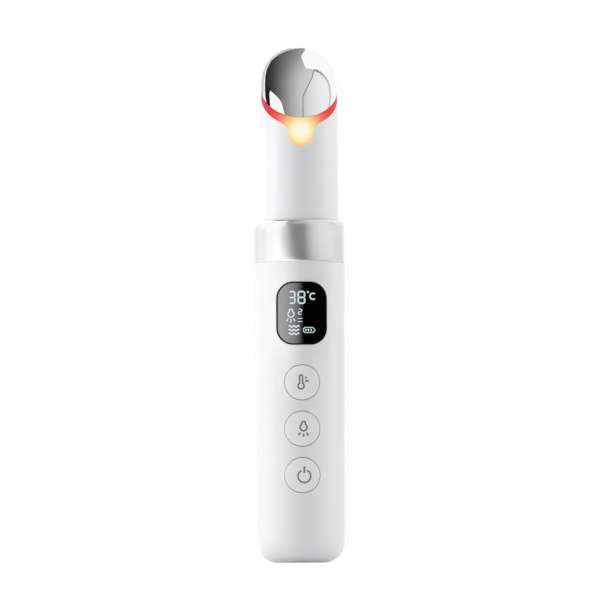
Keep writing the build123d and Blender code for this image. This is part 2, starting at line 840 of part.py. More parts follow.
# ---- Chassis ----
def chassis():
    """The moulded frame that carries both boards and the cell, and is screwed into the neck."""
    base = disc(chassis_radius, chassis_seat_height, chassis_seat_height + chassis_plate_thickness)
    half = charge_board_width / 2 + fit_gap
    base -= block(
        -half,
        half,
        -socket_depth / 2 - loose_gap,
        charge_board_front + board_thickness + loose_gap,
        chassis_seat_height - 1,
        chassis_seat_height + chassis_plate_thickness + 1,
    )
    frame = base
    for side in (-1, 1):
        inner = min(side * (half - 1), side * (half + rail_thickness))
        outer = max(side * (half - 1), side * (half + rail_thickness))
        frame += block(
            inner,
            outer,
            charge_board_front - 1,
            charge_board_front + board_thickness + 1,
            chassis_seat_height,
            charge_board_top,
        )
    frame -= block(
        -half,
        half,
        charge_board_front - seam_gap,
        charge_board_front + board_thickness + seam_gap,
        chassis_seat_height - 1,
        charge_board_top + 1,
    )

    body = disc(chassis_radius, cell_shelf_height, cell_shelf_height + cell_shelf_thickness)
    for index in range(hoop_count):
        bottom = hoop_first_height + index * hoop_pitch
        body += disc(chassis_radius, bottom, bottom + hoop_thickness)
    body = body & block(-reach, reach, board_back, hoop_reach, 0, reach * 4)
    cell_bore = cell_radius + fit_gap
    body -= rod_z(cell_bore, cell_shelf_height + cell_shelf_thickness, reach * 4, 0, cell_offset)
    frame += body

    web_bottom = cell_shelf_height
    frame += block(
        -rail_outer, rail_outer, board_back, board_back + chassis_web_thickness, web_bottom, spigot_bottom
    )
    rails = block(-rail_outer, rail_outer, board_back, rail_back, chassis_seat_height, spigot_bottom + 1)
    rails -= block(
        -rail_outer + rail_thickness, rail_outer - rail_thickness, -reach, reach, 0, reach * 4
    )
    frame += rails & disc(chassis_ring_radius, 0, reach * 4)
    for x in (-board_screw_x, board_screw_x):
        for height in board_screw_heights:
            frame += rod_y(tie_boss_radius, board_back, board_back + board_screw_length, x, height)
    frame -= block(
        -chassis_window_width / 2,
        chassis_window_width / 2,
        -reach,
        rail_back,
        cell_top + chassis_window_margin,
        spigot_bottom - chassis_window_margin / 2,
    )
    frame -= rod_z(cell_bore, cell_shelf_height + cell_shelf_thickness, cell_top + 1, 0, cell_offset)
    frame += tube(
        chassis_ring_radius,
        chassis_ring_radius - collar_ring_thickness,
        spigot_bottom - loose_gap,
        spigot_bottom + collar_ring_height,
    )
    screw_height = handle_height - chassis_screw_drop
    boss_inner = spigot_radius - screw_head_height - chassis_screw_length - boss_floor
    boss_outer = chassis_ring_radius - collar_ring_thickness / 2
    frame += rod_x(chassis_boss_radius, boss_inner, boss_outer, 0, screw_height)
    frame += rod_x(chassis_boss_radius, -boss_outer, -boss_inner, 0, screw_height)
    frame -= rod_x(screw_radius + running_gap, -reach, reach, 0, screw_height)
    hole_end = board_back + board_screw_length - boss_floor
    for x in (-board_screw_x, board_screw_x):
        for height in board_screw_heights:
            frame -= rod_y(screw_radius + running_gap, board_back - 1, hole_end, x, height)
    return frame


def small_screw(length):
    """A short cross-head screw, pointing along +Z from the underside of its head."""
    screw = Cylinder(screw_radius, length, align=(Align.CENTER, Align.CENTER, Align.MIN))
    screw += Cylinder(screw_head_radius, screw_head_height, align=(Align.CENTER, Align.CENTER, Align.MAX))
    return screw - Pos(0, 0, -screw_head_height) * cross_slot()


def chassis_screws():
    """The two screws through the neck's spigot into the chassis."""
    height = handle_height - chassis_screw_drop
    seat = spigot_radius - screw_head_height - fit_gap
    right = Pos(seat, 0, height) * Rot(0, -90, 0) * small_screw(chassis_screw_length)
    left = Pos(-seat, 0, height) * Rot(0, 90, 0) * small_screw(chassis_screw_length)
    return Compound([left, right])


# ---- Main board ----
def main_board():
    """The long board behind the buttons and the display."""
    outline = Rectangle(board_width, board_top - board_bottom)
    outline = fillet(outline.vertices(), 1)
    board = front_prism(Pos(0, (board_top + board_bottom) / 2) * outline, board_front, board_back)
    for x in (-board_screw_x, board_screw_x):
        for height in board_screw_heights:
            board -= rod_y(screw_radius + fit_gap, board_front - 1, board_back + 1, x, height)
    return board


def board_screws():
    """The four screws that hold the main board on the chassis."""
    screws = []
    length = board_thickness + board_screw_length - boss_floor - loose_gap
    for x in (-board_screw_x, board_screw_x):
        for height in board_screw_heights:
            screws.append(Pos(x, board_front, height) * Rot(-90, 0, 0) * small_screw(length))
    return Compound(screws)


def chip(width, length, height, z):
    """A moulded package on the front of the main board, with a row of legs on each side."""
    body = block(-width / 2, width / 2, board_front - height, board_front, z - length / 2, z + length / 2)
    pitch = 2 * length / (2 * chip_legs_per_side + 1)
    half = chip_leg_width / 2
    tip = width / 2 + chip_leg_length
    for step in range(chip_legs_per_side):
        leg_z = z + (step - (chip_legs_per_side - 1) / 2) * pitch
        body += block(-tip, tip, board_front - foot_thickness, board_front, leg_z - half, leg_z + half)
    return body


def control_chip():
    """The controller, between the power and light switches."""
    z = power_button_height + button_pitch / 2
    return chip(control_chip_width, control_chip_length, control_chip_height, z)


def charge_chip():
    """The charging chip, between the light and temperature switches."""
    z = power_button_height + 3 * button_pitch / 2
    return chip(charge_chip_size, charge_chip_size, charge_chip_height, z)


def boost_coil():
    """The round coil of the supply for the heater, above the switches."""
    z = button_heights["temperature"] + button_pitch / 2
    half = coil_base_size / 2
    base_front = board_front - coil_base_height
    base = block(-half, half, base_front, board_front, z - half, z + half)
    return base + rod_y(coil_radius, base_front - coil_height, base_front, 0, z)


def tact_switch(height):
    """A square push switch with a well for its actuator and four soldered feet."""
    half = switch_size / 2
    body = block(-half, half, switch_front, board_front, height - half, height + half)
    well = actuator_depth + button_travel + fit_gap
    body -= rod_y(actuator_radius + seam_gap, switch_front - 1, switch_front + well, 0, height)
    foot_front = board_front - foot_thickness
    foot_half = switch_foot_width / 2
    for z in (height - half * switch_foot_share, height + half * switch_foot_share):
        for x_low in (-half - switch_foot_length, half):
            x_high = x_low + switch_foot_length
            body += block(x_low, x_high, foot_front, board_front, z - foot_half, z + foot_half)
    return body


def switch_actuator(height):
    """The switch's round actuator, which moves with the button."""
    return rod_y(actuator_radius, actuator_front, switch_front + actuator_depth, 0, height)


def button_cap(height):
    """A hollow moulded cap: gently curved face, stop flange and a nub for the switch."""
    face = -handle_radius_at(height) + button_sink
    body = rod_y(button_radius, -reach, cap_flange_back, 0, height)
    body = body & rod_z(cap_face_radius, 0, wand_length, 0, face + cap_face_radius)
    rim = body.edges().sort_by(Axis.Y)[0]
    body = fillet(rim, cap_edge_radius)
    body += rod_y(button_radius + flange_width, cap_flange_front, cap_flange_back, 0, height)
    hollow = rod_y(button_radius - cap_wall, face + cap_face_thickness, cap_flange_back + 1, 0, height)
    hollow -= rod_y(nub_radius, -reach, reach, 0, height)
    body -= hollow
    return body + rod_y(nub_radius, face + cap_wall, actuator_front, 0, height)


# ---- Battery, socket and leads ----
def battery_cell():
    """A round lithium cell with its raised cap."""
    cell = rod_z(cell_radius, cell_bottom, cell_top - cell_cap_height, 0, cell_offset)
    cell = fillet(cell.edges().filter_by(GeomType.CIRCLE), cell_edge_radius)
    return cell + rod_z(cell_radius / 2, cell_top - 2 * cell_cap_height, cell_top, 0, cell_offset)


def cell_pad():
    """The foam disc under the cell."""
    bottom = cell_shelf_height + cell_shelf_thickness
    return rod_z(cell_pad_radius, bottom, cell_bottom, 0, cell_offset)


def socket_shell():
    """The folded steel shell of the charging socket, closed at its back."""
    top = socket_sink + socket_length
    outer = rounded_slot(socket_width, socket_depth, socket_depth / 2 - seam_gap, socket_sink, top)
    inner = rounded_slot(
        socket_width - 2 * socket_wall,
        socket_depth - 2 * socket_wall,
        socket_depth / 2 - socket_wall - seam_gap,
        socket_sink - 1,
        top - socket_wall,
    )
    return outer - inner


def socket_tongue():
    """The insulating core of the socket with its contact tongue."""
    top = socket_sink + socket_length - socket_wall
    core_height = socket_length - socket_wall - tongue_length - tongue_sink
    core = rounded_slot(
        socket_width - 2 * socket_wall - 2 * seam_gap,
        socket_depth - 2 * socket_wall - 2 * seam_gap,
        socket_depth / 2 - socket_wall - 2 * seam_gap,
        top - core_height,
        top,
    )
    tongue = block(
        -tongue_width / 2,
        tongue_width / 2,
        -tongue_thickness / 2,
        tongue_thickness / 2,
        top - core_height - tongue_length,
        top,
    )
    return core + tongue


def charge_board():
    """The small upright board that carries the socket."""
    return block(
        -charge_board_width / 2,
        charge_board_width / 2,
        charge_board_front,
        charge_board_front + board_thickness,
        charge_board_bottom,
        charge_board_top,
    )


def lead(points):
    """A round wire through a few corners, with one bend radius."""
    path = FilletPolyline(*points, radius=lead_bend)
    section = Plane(origin=points[0], z_dir=Vector(*points[1]) - Vector(*points[0])) * Circle(lead_radius)
    return sweep(section, path)


def battery_lead(side):
    """A lead from the cell's cap, up and forward to the main board."""
    x = side * battery_lead_spacing / 2
    start_height = cell_top - cell_cap_height + seam_gap
    turn_height = cell_top + battery_lead_rise
    y = cell_offset + cell_radius / 2 + 1
    return lead([(x, y, start_height), (x, y, turn_height), (x, board_back, turn_height)])


def charge_leads():
    """Two leads from the charging board to the lower edge of the main board."""
    wires = []
    middle = (board_front + board_back) / 2
    for side in (-1, 1):
        x = side * charge_lead_spacing / 2
        wires.append(
            lead(
                [
                    (x, charge_board_front, charge_lead_height),
                    (x, middle, charge_lead_height),
                    (x, middle, board_bottom),
                ]
            )
        )
    return Compound(wires)


def motor_leads():
    """Two leads from the main board up to the motor's end cap."""
    wires = []
    for side in (-1, 1):
        x = side * motor_lead_spacing / 2
        wires.append(
            lead(
                [
                    (x, board_back, motor_lead_height),
                    (x, motor_lead_offset, motor_lead_height),
                    (x, motor_lead_offset, motor_bottom),
                ]
            )
        )
    return Compound(wires)


def head_ribbon():
    """The flat cable from the main board up the back of the neck to the light board."""
    route = FilletPolyline(
        (board_back, ribbon_height),
        (ribbon_offset, ribbon_height),
        (ribbon_offset, shelf_height),
        radius=ribbon_bend,
    )
    section = trace(route, line_width=ribbon_thickness)
    return extrude(Plane.YZ * section, amount=ribbon_width / 2, both=True)


# ---- Write every piece ----
pieces = {
    "handle_shell": handle_shell(),
    "collar_ring": collar_ring(),
    "neck_shell": neck_shell(),
    "neck_seal": neck_seal(),
    "light_guide": light_guide(),
    "head_seal": head_seal(),
    "massage_head": massage_head(),
    "heater_plate": heater_plate(),
    "thermistor": thermistor(),
    "light_board": light_board(),
    "red_leds": red_leds(),
    "amber_leds": amber_leds(),
    "motor_mount": motor_mount(),
    "motor_can": motor_can(),
    "motor_magnet": motor_magnet(),
    "motor_end_cap": motor_end_cap(),
    "motor_shaft": motor_shaft(),
    "motor_armature": motor_armature(),
    "eccentric_weight": eccentric_weight(),
    "tie_screws": tie_screws(),
    "chassis": chassis(),
    "chassis_screws": chassis_screws(),
    "main_board": main_board(),
    "board_screws": board_screws(),
    "control_chip": control_chip(),
    "charge_chip": charge_chip(),
    "boost_coil": boost_coil(),
    "display_module": display_module(),
    "display_lens": display_lens(),
    "battery_cell": battery_cell(),
    "cell_pad": cell_pad(),
    "battery_lead_positive": battery_lead(1),
    "battery_lead_negative": battery_lead(-1),
    "charge_board": charge_board(),
    "socket_shell": socket_shell(),
    "socket_tongue": socket_tongue(),
    "charge_leads": charge_leads(),
    "motor_leads": motor_leads(),
    "head_ribbon": head_ribbon(),
}
for name, height in button_heights.items():
    pieces[name + "_button"] = button_cap(height)
    pieces[name + "_actuator"] = switch_actuator(height)
    pieces[name + "_switch"] = tact_switch(height)

os.makedirs("parts", exist_ok=True)
for name, piece in pieces.items():
    export_step(piece, "parts/" + name + ".step")
    print(name, len(piece.solids()), "solid(s)", round(piece.volume, 1), "mm3")
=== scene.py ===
# %% [markdown]
# # A heated eye massager wand
# The wand is a white moulded handle with a black display window and three round buttons, a
# bead-blasted metal collar, a slimmer white neck, a slanted ring of light with a drop-shaped lobe,
# and an obliquely cut, mirror-polished head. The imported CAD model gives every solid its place, and
# this file dresses it: it adds materials, printed signs, lit figures, a smoother mirror, light and
# a camera.

# %% The frame
import json
import bmesh
import bpy
import numpy as np
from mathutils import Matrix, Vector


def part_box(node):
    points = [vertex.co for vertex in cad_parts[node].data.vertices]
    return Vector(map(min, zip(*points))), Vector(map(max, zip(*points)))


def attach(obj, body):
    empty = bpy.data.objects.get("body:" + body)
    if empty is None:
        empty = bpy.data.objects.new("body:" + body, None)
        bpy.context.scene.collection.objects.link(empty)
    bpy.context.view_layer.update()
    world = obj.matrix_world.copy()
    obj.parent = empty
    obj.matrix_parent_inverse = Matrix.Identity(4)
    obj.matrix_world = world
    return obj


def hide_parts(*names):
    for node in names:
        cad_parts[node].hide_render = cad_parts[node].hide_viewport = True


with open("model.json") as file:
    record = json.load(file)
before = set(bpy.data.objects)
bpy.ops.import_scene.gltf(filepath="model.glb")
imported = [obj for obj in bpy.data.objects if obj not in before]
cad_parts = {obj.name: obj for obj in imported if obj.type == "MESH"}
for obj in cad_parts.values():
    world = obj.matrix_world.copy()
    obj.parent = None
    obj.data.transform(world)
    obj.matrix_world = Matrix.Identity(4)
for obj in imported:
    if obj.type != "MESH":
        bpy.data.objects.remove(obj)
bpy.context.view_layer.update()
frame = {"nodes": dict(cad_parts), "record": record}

nodes = frame["nodes"]

# %% [markdown]
# The sizes that the added pieces share with the solids are kept here in millimetres, as on a
# drawing. Blender works in metres, so every mesh is scaled by MM as it is made.

# %% Sizes, in millimetres
MM = 0.001
WAND_LENGTH = 150.0
HANDLE_HEIGHT = 86.35
HANDLE_RADIUS = 13.0
HANDLE_DRAFT = 0.35
NECK_RADIUS = 11.0
HEAD_SLANT = 39.2
HEAD_SLOPE = float(np.tan(np.radians(HEAD_SLANT)))
CROWN_HEIGHT = 7.7
CROWN_POWER = 3.0
DUAL_POWER = CROWN_POWER / (CROWN_POWER - 1)
HEAD_RISE = (CROWN_HEIGHT ** DUAL_POWER + (HEAD_SLOPE * NECK_RADIUS) ** DUAL_POWER) ** (1 / DUAL_POWER)
HEAD_SEAM = WAND_LENGTH - HEAD_RISE
GASKET_THICKNESS = 0.2
BAND_TOP = HEAD_SEAM - GASKET_THICKNESS
BAND_WIDTH = 2.45
SKIRT_RADIUS = 9.4
SKIRT_BORE = 8.6
SKIRT_DEPTH = 1.65
CAVITY_DEPTH = 4.2
BOSS_OFFSET = 6.3
BOSS_RADIUS = 1.5
BOSS_BORE = 0.83
BOSS_DROP = 6.6
BOSS_HOLE = 4.0
BOSS_ROOT = 4.5
CAP_SINK = 0.05
CAP_FACE_RADIUS = 18.0
LENS_CORNER = 4.8


def handle_radius_at(height):
    """Handle radius: full at the collar, less the draft in proportion to the drop below it."""
    return HANDLE_RADIUS - HANDLE_DRAFT * (1 - height / HANDLE_HEIGHT)


def middle_height(name):
    """Height of a solid's middle, read from the frame."""
    low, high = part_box(name)
    return (low[2] + high[2]) / 2 / MM


DISPLAY_HEIGHT = middle_height("display_lens")
BUTTON_HEIGHTS = {key: middle_height(key + "_button") for key in ("power", "light", "temperature")}
print("handle radius at the display:", round(handle_radius_at(DISPLAY_HEIGHT), 3))
print("height of the head's seam on the axis:", round(HEAD_SEAM, 3))

# %% [markdown]
# ## Camera
# The wand is seen almost straight on, from a little below its middle, through a long lens from more
# than a metre away, so its sides look nearly parallel. The camera stands a little to the left, and is
# rolled by a quarter of a degree. FRAME_WIDTH is the width of the picture at the wand, in metres.

# %% Camera
from mathutils import Matrix, Vector

CAMERA_DISTANCE = 1.3
CAMERA_AZIMUTH = np.radians(-2.3)
CAMERA_ELEVATION = np.radians(-3.0)
CAMERA_ROLL = np.radians(-0.24)
FRAME_WIDTH = 0.17337
TARGET = Vector((0.0, 0.0, 0.07574))

camera_data = bpy.data.cameras.new("camera")
camera_data.sensor_width = 36.0
camera_data.lens = camera_data.sensor_width * CAMERA_DISTANCE / FRAME_WIDTH
camera_data.clip_start = 0.05
camera_data.clip_end = 20.0
camera = bpy.data.objects.new("camera", camera_data)
bpy.context.scene.collection.objects.link(camera)
back = Vector((
    np.sin(CAMERA_AZIMUTH) * np.cos(CAMERA_ELEVATION),
    -np.cos(CAMERA_AZIMUTH) * np.cos(CAMERA_ELEVATION),
    np.sin(CAMERA_ELEVATION),
))
turn = (-back).to_track_quat("-Z", "Y").to_matrix().to_4x4()
camera.matrix_world = (
    Matrix.Translation(TARGET + back * CAMERA_DISTANCE) @ turn @ Matrix.Rotation(CAMERA_ROLL, 4, "Z")
)
bpy.context.scene.camera = camera
print("camera at", [round(c, 3) for c in camera.location])

# %% [markdown]
# ## Shader nodes in few words
# Materials and the world are built from shader nodes. These short functions add a node, feed its
# sockets and hand back its output, so that a finish reads as a few lines further down.

# %% Short ways to write shader nodes
def put(tree, socket, value):
    """Feeds a socket from another socket, or sets it to a plain value."""
    if isinstance(value, bpy.types.NodeSocket):
        tree.links.new(value, socket)
    else:
        socket.default_value = value


def node(tree, kind, settings=None, **inputs):
    """Adds a shader node, with its settings and its inputs by name (an underscore is a space)."""
    made = tree.nodes.new(kind)
    for name, value in (settings or {}).items():
        setattr(made, name, value)
    for name, value in inputs.items():
        put(tree, made.inputs[name.replace("_", " ")], value)
    return made


def maths(tree, operation, *values):
    """The outcome of one arithmetic step."""
    made = node(tree, "ShaderNodeMath", {"operation": operation})
    for socket, value in zip(made.inputs, values):
        put(tree, socket, value)
    return made.outputs[0]


def blend(tree, factor, first, second):
    """A colour between two others."""
    made = node(tree, "ShaderNodeMix", {"data_type": "RGBA"})
    put(tree, made.inputs[0], factor)
    put(tree, made.inputs[6], first)
    put(tree, made.inputs[7], second)
    return made.outputs[2]


def level(tree, value, low, high, to_low, to_high):
    """A value carried from one range to another in a straight line, and held at the ends."""
    made = node(tree, "ShaderNodeMapRange")
    for socket, number in zip(made.inputs, (value, low, high, to_low, to_high)):
        put(tree, socket, number)
    return made.outputs[0]


def colour(*parts):
    """A display colour from 0 to 1 as the linear colour that shaders use."""
    parts = np.array(parts, dtype=float)
    linear = np.where(parts <= 0.04045, parts / 12.92, ((parts + 0.055) / 1.055) ** 2.4)
    return (*[float(p) for p in linear], 1.0)


def ramp(tree, factor, stops):
    """The colour that a factor picks between stops of (position, (red, green, blue))."""
    made = node(tree, "ShaderNodeValToRGB", Fac=factor)
    elements = made.color_ramp.elements
    while len(elements) < len(stops):
        elements.new(0.5)
    for element, (position, tint) in zip(elements, stops):
        element.position = position
        element.color = colour(*tint)
    return made.outputs["Color"]


def plainly_seen(tree):
    """1 for rays from the camera, off a mirror or through glass; 0 for those that light a surface."""
    path = node(tree, "ShaderNodeLightPath")
    seen = maths(tree, "MAXIMUM", path.outputs["Is Camera Ray"], path.outputs["Is Glossy Ray"])
    return maths(tree, "MAXIMUM", seen, path.outputs["Is Transmission Ray"])


def new_material(name):
    """An empty material and its output node."""
    material = bpy.data.materials.new(name)
    material.use_nodes = True
    material.node_tree.nodes.clear()
    return material, node(material.node_tree, "ShaderNodeOutputMaterial")

# %% [markdown]
# ## Light
# Two soft boxes, tall and wide so that they leave no hard shadow, stand left and right of the wand,
# the left one stronger, and the world fills in from all sides. Seen by the camera the world is plain
# white. A polished head shows what stands round it, so a few grey and black boards stand in the studio
# too. They are seen only in reflections, and throw neither light nor shadow. SOFT_BOXES gives an
# azimuth in degrees and a power in watts.

# %% World
AMBIENT = 0.65

bpy.context.scene.view_settings.view_transform = "Standard"
world = bpy.data.worlds.new("studio")
bpy.context.scene.world = world
world.use_nodes = True
tree = world.node_tree
tree.nodes.clear()
strength = level(tree, plainly_seen(tree), 0.0, 1.0, AMBIENT, 1.0)
shine = node(tree, "ShaderNodeBackground", Color=(1.0, 1.0, 1.0, 1.0), Strength=strength)
out = node(tree, "ShaderNodeOutputWorld")
tree.links.new(shine.outputs[0], out.inputs[0])
print("world: ambient", AMBIENT)

# %% Soft boxes
SOFT_BOXES = {"left": (-85, 9.8), "right": (93, 6.2)}


def soft_box(name, azimuth, power, height=0.10, distance=1.0, width=0.4, length=1.2):
    """A rectangular light at an azimuth round the wand, aimed at its middle; mirrors do not show it."""
    data = bpy.data.lights.new(name, "AREA")
    data.shape = "RECTANGLE"
    data.size = width
    data.size_y = length
    data.energy = power
    lamp = bpy.data.objects.new(name, data)
    angle = np.radians(azimuth)
    place = Vector((np.sin(angle) * distance, -np.cos(angle) * distance, height))
    aim = Vector((0.0, 0.0, WAND_LENGTH / 2 * MM)) - place
    lamp.location = place
    lamp.rotation_mode = "QUATERNION"
    lamp.rotation_quaternion = aim.to_track_quat("-Z", "Y")
    lamp.visible_glossy = False
    bpy.context.scene.collection.objects.link(lamp)


for name, (azimuth, power) in SOFT_BOXES.items():
    soft_box(name + "_soft_box", azimuth, power)
print("soft boxes:", len(SOFT_BOXES))

# %% [markdown]
# ## Meshes from numpy
# A surface is a grid of points worked out as one array. `skin` turns such grids into one mesh: each
# cell of a grid becomes a face, a grid may be closed along either direction, and points that fall
# together at a pole are merged.

# %% Surfaces
def skin(name, grids, smooth=True):
    """One mesh from grids of points in millimetres; a grid is (points, closed_rows, closed_columns)."""
    corners, faces, offset = [], [], 0
    for points, closed_rows, closed_columns in grids:
        rows, columns = points.shape[:2]
        index = offset + np.arange(rows * columns).reshape(rows, columns)
        if closed_rows:
            index = np.vstack([index, index[:1]])
        if closed_columns:
            index = np.hstack([index, index[:, :1]])
        quads = np.stack([index[:-1, :-1], index[1:, :-1], index[1:, 1:], index[:-1, 1:]], axis=-1)
        corners.append(points.reshape(-1, 3))
        faces.append(quads.reshape(-1, 4))
        offset += rows * columns
    corners = np.vstack(corners) * MM
    faces = np.vstack(faces)
    mesh = bpy.data.meshes.new(name)
    mesh.vertices.add(len(corners))
    mesh.vertices.foreach_set("co", corners.astype(np.float32).ravel())
    mesh.loops.add(faces.size)
    mesh.loops.foreach_set("vertex_index", faces.astype(np.int32).ravel())
    mesh.polygons.add(len(faces))
    mesh.polygons.foreach_set("loop_start", np.arange(0, faces.size, 4, dtype=np.int32))
    mesh.update(calc_edges=True)
    work = bmesh.new()
    work.from_mesh(mesh)
    bmesh.ops.remove_doubles(work, verts=work.verts, dist=1e-7)
    bmesh.ops.dissolve_degenerate(work, dist=1e-8, edges=work.edges)
    for face in work.faces:
        face.smooth = smooth
    work.to_mesh(mesh)
    work.free()
    made = bpy.data.objects.new(name, mesh)
    bpy.context.scene.collection.objects.link(made)
    print(name, "faces:", len(mesh.polygons))
    return made


def outward(piece):
    """Turns the faces of a closed mesh outwards."""
    work = bmesh.new()
    work.from_mesh(piece.data)
    bmesh.ops.recalc_face_normals(work, faces=work.faces)
    work.to_mesh(piece.data)
    work.free()
    return piece

# %% [markdown]
# ## Floor
# The floor is a pale sheet that keeps the wand's shadow. Part of what the camera sees of it is its
# own plain glow, so that it meets the white background without an edge.

# %% Floor
FLOOR_REACH = 3000.0
FLOOR_GLOW = 0.48


def floor():
    """A wide square at the height of the wand's base."""
    side = np.array([-FLOOR_REACH, FLOOR_REACH])
    x, y = np.meshgrid(side, side, indexing="ij")
    return skin("floor", [(np.stack([x, y, np.zeros_like(x)], axis=-1), False, False)], smooth=False)


material, out = new_material("pale_floor")
tree = material.node_tree
paper = node(tree, "ShaderNodeBsdfDiffuse", Color=(0.8, 0.8, 0.8, 1.0))
glow = node(tree, "ShaderNodeEmission", Strength=maths(tree, "MULTIPLY", plainly_seen(tree), FLOOR_GLOW))
both = node(tree, "ShaderNodeAddShader")
tree.links.new(paper.outputs[0], both.inputs[0])
tree.links.new(glow.outputs[0], both.inputs[1])
tree.links.new(both.outputs[0], out.inputs[0])
ground = floor()
ground.data.materials.append(material)

# %% [markdown]
# ## Patterns that finishes share
# Moulded plastic, blasted or drawn metal and circuit boards each have a fine pattern of their own.
# Each is a node group that puts out a colour, a roughness and a height, so that a material can use
# it with its own colours and grain. All read Object coordinates, in metres.

# %% Group helper
def new_group(name, inputs, outputs):
    """A node group with named sockets; returns its tree, the input node and the output node."""
    tree = bpy.data.node_groups.new(name, "ShaderNodeTree")
    for socket, (kind, value) in inputs.items():
        made = tree.interface.new_socket(socket, in_out="INPUT", socket_type=kind)
        made.default_value = value
    for socket, kind in outputs.items():
        tree.interface.new_socket(socket, in_out="OUTPUT", socket_type=kind)
    return tree, node(tree, "NodeGroupInput"), node(tree, "NodeGroupOutput")


FLOAT, COLOR = "NodeSocketFloat", "NodeSocketColor"
GREY = (0.5, 0.5, 0.5, 1.0)
SKIN_INPUTS = {
    "Light": (COLOR, GREY),
    "Dark": (COLOR, GREY),
    "Smooth": (FLOAT, 0.3),
    "Rough": (FLOAT, 0.4),
    "Grain": (FLOAT, 5000.0),
}
SKIN_OUTPUTS = {"Color": COLOR, "Roughness": FLOAT, "Height": FLOAT}


def noise(tree, place, scale, detail=2.0):
    """Soft random values over a surface."""
    made = node(tree, "ShaderNodeTexNoise", Vector=place, Scale=scale, Detail=detail)
    return made.outputs["Fac"]


def object_place(tree):
    """Object coordinates, in metres from the middle of the wand's base."""
    return node(tree, "ShaderNodeTexCoord").outputs["Object"]


def give(tree, given, out, share, tint, height):
    """Feeds the group's output; its roughness is Smooth + share * (Rough - Smooth)."""
    spread = maths(tree, "SUBTRACT", given.outputs["Rough"], given.outputs["Smooth"])
    rough = maths(tree, "ADD", given.outputs["Smooth"], maths(tree, "MULTIPLY", share, spread))
    put(tree, out.inputs["Color"], tint)
    put(tree, out.inputs["Roughness"], rough)
    put(tree, out.inputs["Height"], height)

# %% [markdown]
# Moulded plastic is never quite even: its colour drifts a little from place to place, and the mould's
# spark-worn wall leaves a very fine grain. Two noises give the grain, one of them far coarser.

# %% Moulded skin
tree, given, out = new_group("moulded_skin", SKIN_INPUTS, SKIN_OUTPUTS)
place = object_place(tree)
cloud = level(tree, noise(tree, place, 45.0, 3.0), 0.35, 0.65, 0.0, 1.0)
spark = noise(tree, place, given.outputs["Grain"])
flow = noise(tree, place, maths(tree, "MULTIPLY", given.outputs["Grain"], 0.06), 3.0)
patch = level(tree, flow, 0.3, 0.7, 0.0, 1.0)
tint = blend(tree, cloud, given.outputs["Light"], given.outputs["Dark"])
give(tree, given, out, patch, tint, maths(tree, "ADD", spark, maths(tree, "MULTIPLY", flow, 0.6)))
MOULDED = tree

# %% [markdown]
# Metal that is blasted with glass beads is covered by tiny round dents. A cell pattern gives the
# dents, and a noise breaks up their order; the bottoms of the dents are painted darker, a fine painted
# shade in their hollows.

# %% Blasted metal
tree, given, out = new_group("blasted_metal", SKIN_INPUTS, SKIN_OUTPUTS)
place = object_place(tree)
beads = node(tree, "ShaderNodeTexVoronoi", Vector=place, Scale=given.outputs["Grain"]).outputs["Distance"]
dust = noise(tree, place, maths(tree, "MULTIPLY", given.outputs["Grain"], 0.7), 4.0)
dents = maths(tree, "ADD", maths(tree, "MULTIPLY", beads, 0.6), maths(tree, "MULTIPLY", dust, 0.7))
shade = level(tree, dents, 0.35, 0.95, 0.0, 1.0)
# painted shade: the colour is darker where the dents are deepest
tint = blend(tree, shade, given.outputs["Dark"], given.outputs["Light"])
give(tree, given, out, shade, tint, dents)
BLASTED = tree

# %% [markdown]
# Drawn and ground metal has fine streaks along the wand. A noise that is stretched along Z gives them.

# %% Drawn metal
tree, given, out = new_group("drawn_metal", SKIN_INPUTS, SKIN_OUTPUTS)
place = object_place(tree)
long = node(tree, "ShaderNodeMapping", {"vector_type": "POINT"}, Vector=place, Scale=(1.0, 1.0, 0.03))
streaks = noise(tree, long.outputs[0], given.outputs["Grain"], 4.0)
shade = level(tree, streaks, 0.3, 0.7, 0.0, 1.0)
tint = blend(tree, shade, given.outputs["Dark"], given.outputs["Light"])
give(tree, given, out, shade, tint, streaks)
DRAWN = tree

# %% [markdown]
# A circuit board has copper tracks under its lacquer. A brick pattern, whose joints are the tracks, is
# turned so that it lies on the board's face.

# %% Circuit board
tree, given, out = new_group("circuit_board", SKIN_INPUTS, SKIN_OUTPUTS)
place = object_place(tree)
flat = node(
    tree, "ShaderNodeMapping", {"vector_type": "POINT"}, Vector=place, Rotation=(np.pi / 2, 0.0, 0.0),
)
tracks = node(
    tree, "ShaderNodeTexBrick", {"offset": 0.37, "squash": 1.6, "squash_frequency": 3},
    Vector=flat.outputs[0], Scale=given.outputs["Grain"], Mortar_Size=0.09, Mortar_Smooth=0.1,
)
copper = tracks.outputs["Fac"]
tint = blend(tree, copper, given.outputs["Dark"], given.outputs["Light"])
give(tree, given, out, copper, tint, copper)
BOARD = tree
print("groups:", [g.name for g in bpy.data.node_groups])

# %% [markdown]
# ## Finishes
# Each material slot of the model gets one finish. `finish` places a pattern group in a Principled
# shader: the pattern feeds colour, roughness and bump, and everything that is the same all over the
# surface is set on the shader's own sockets.

# %% One finish
FINISHES = {}


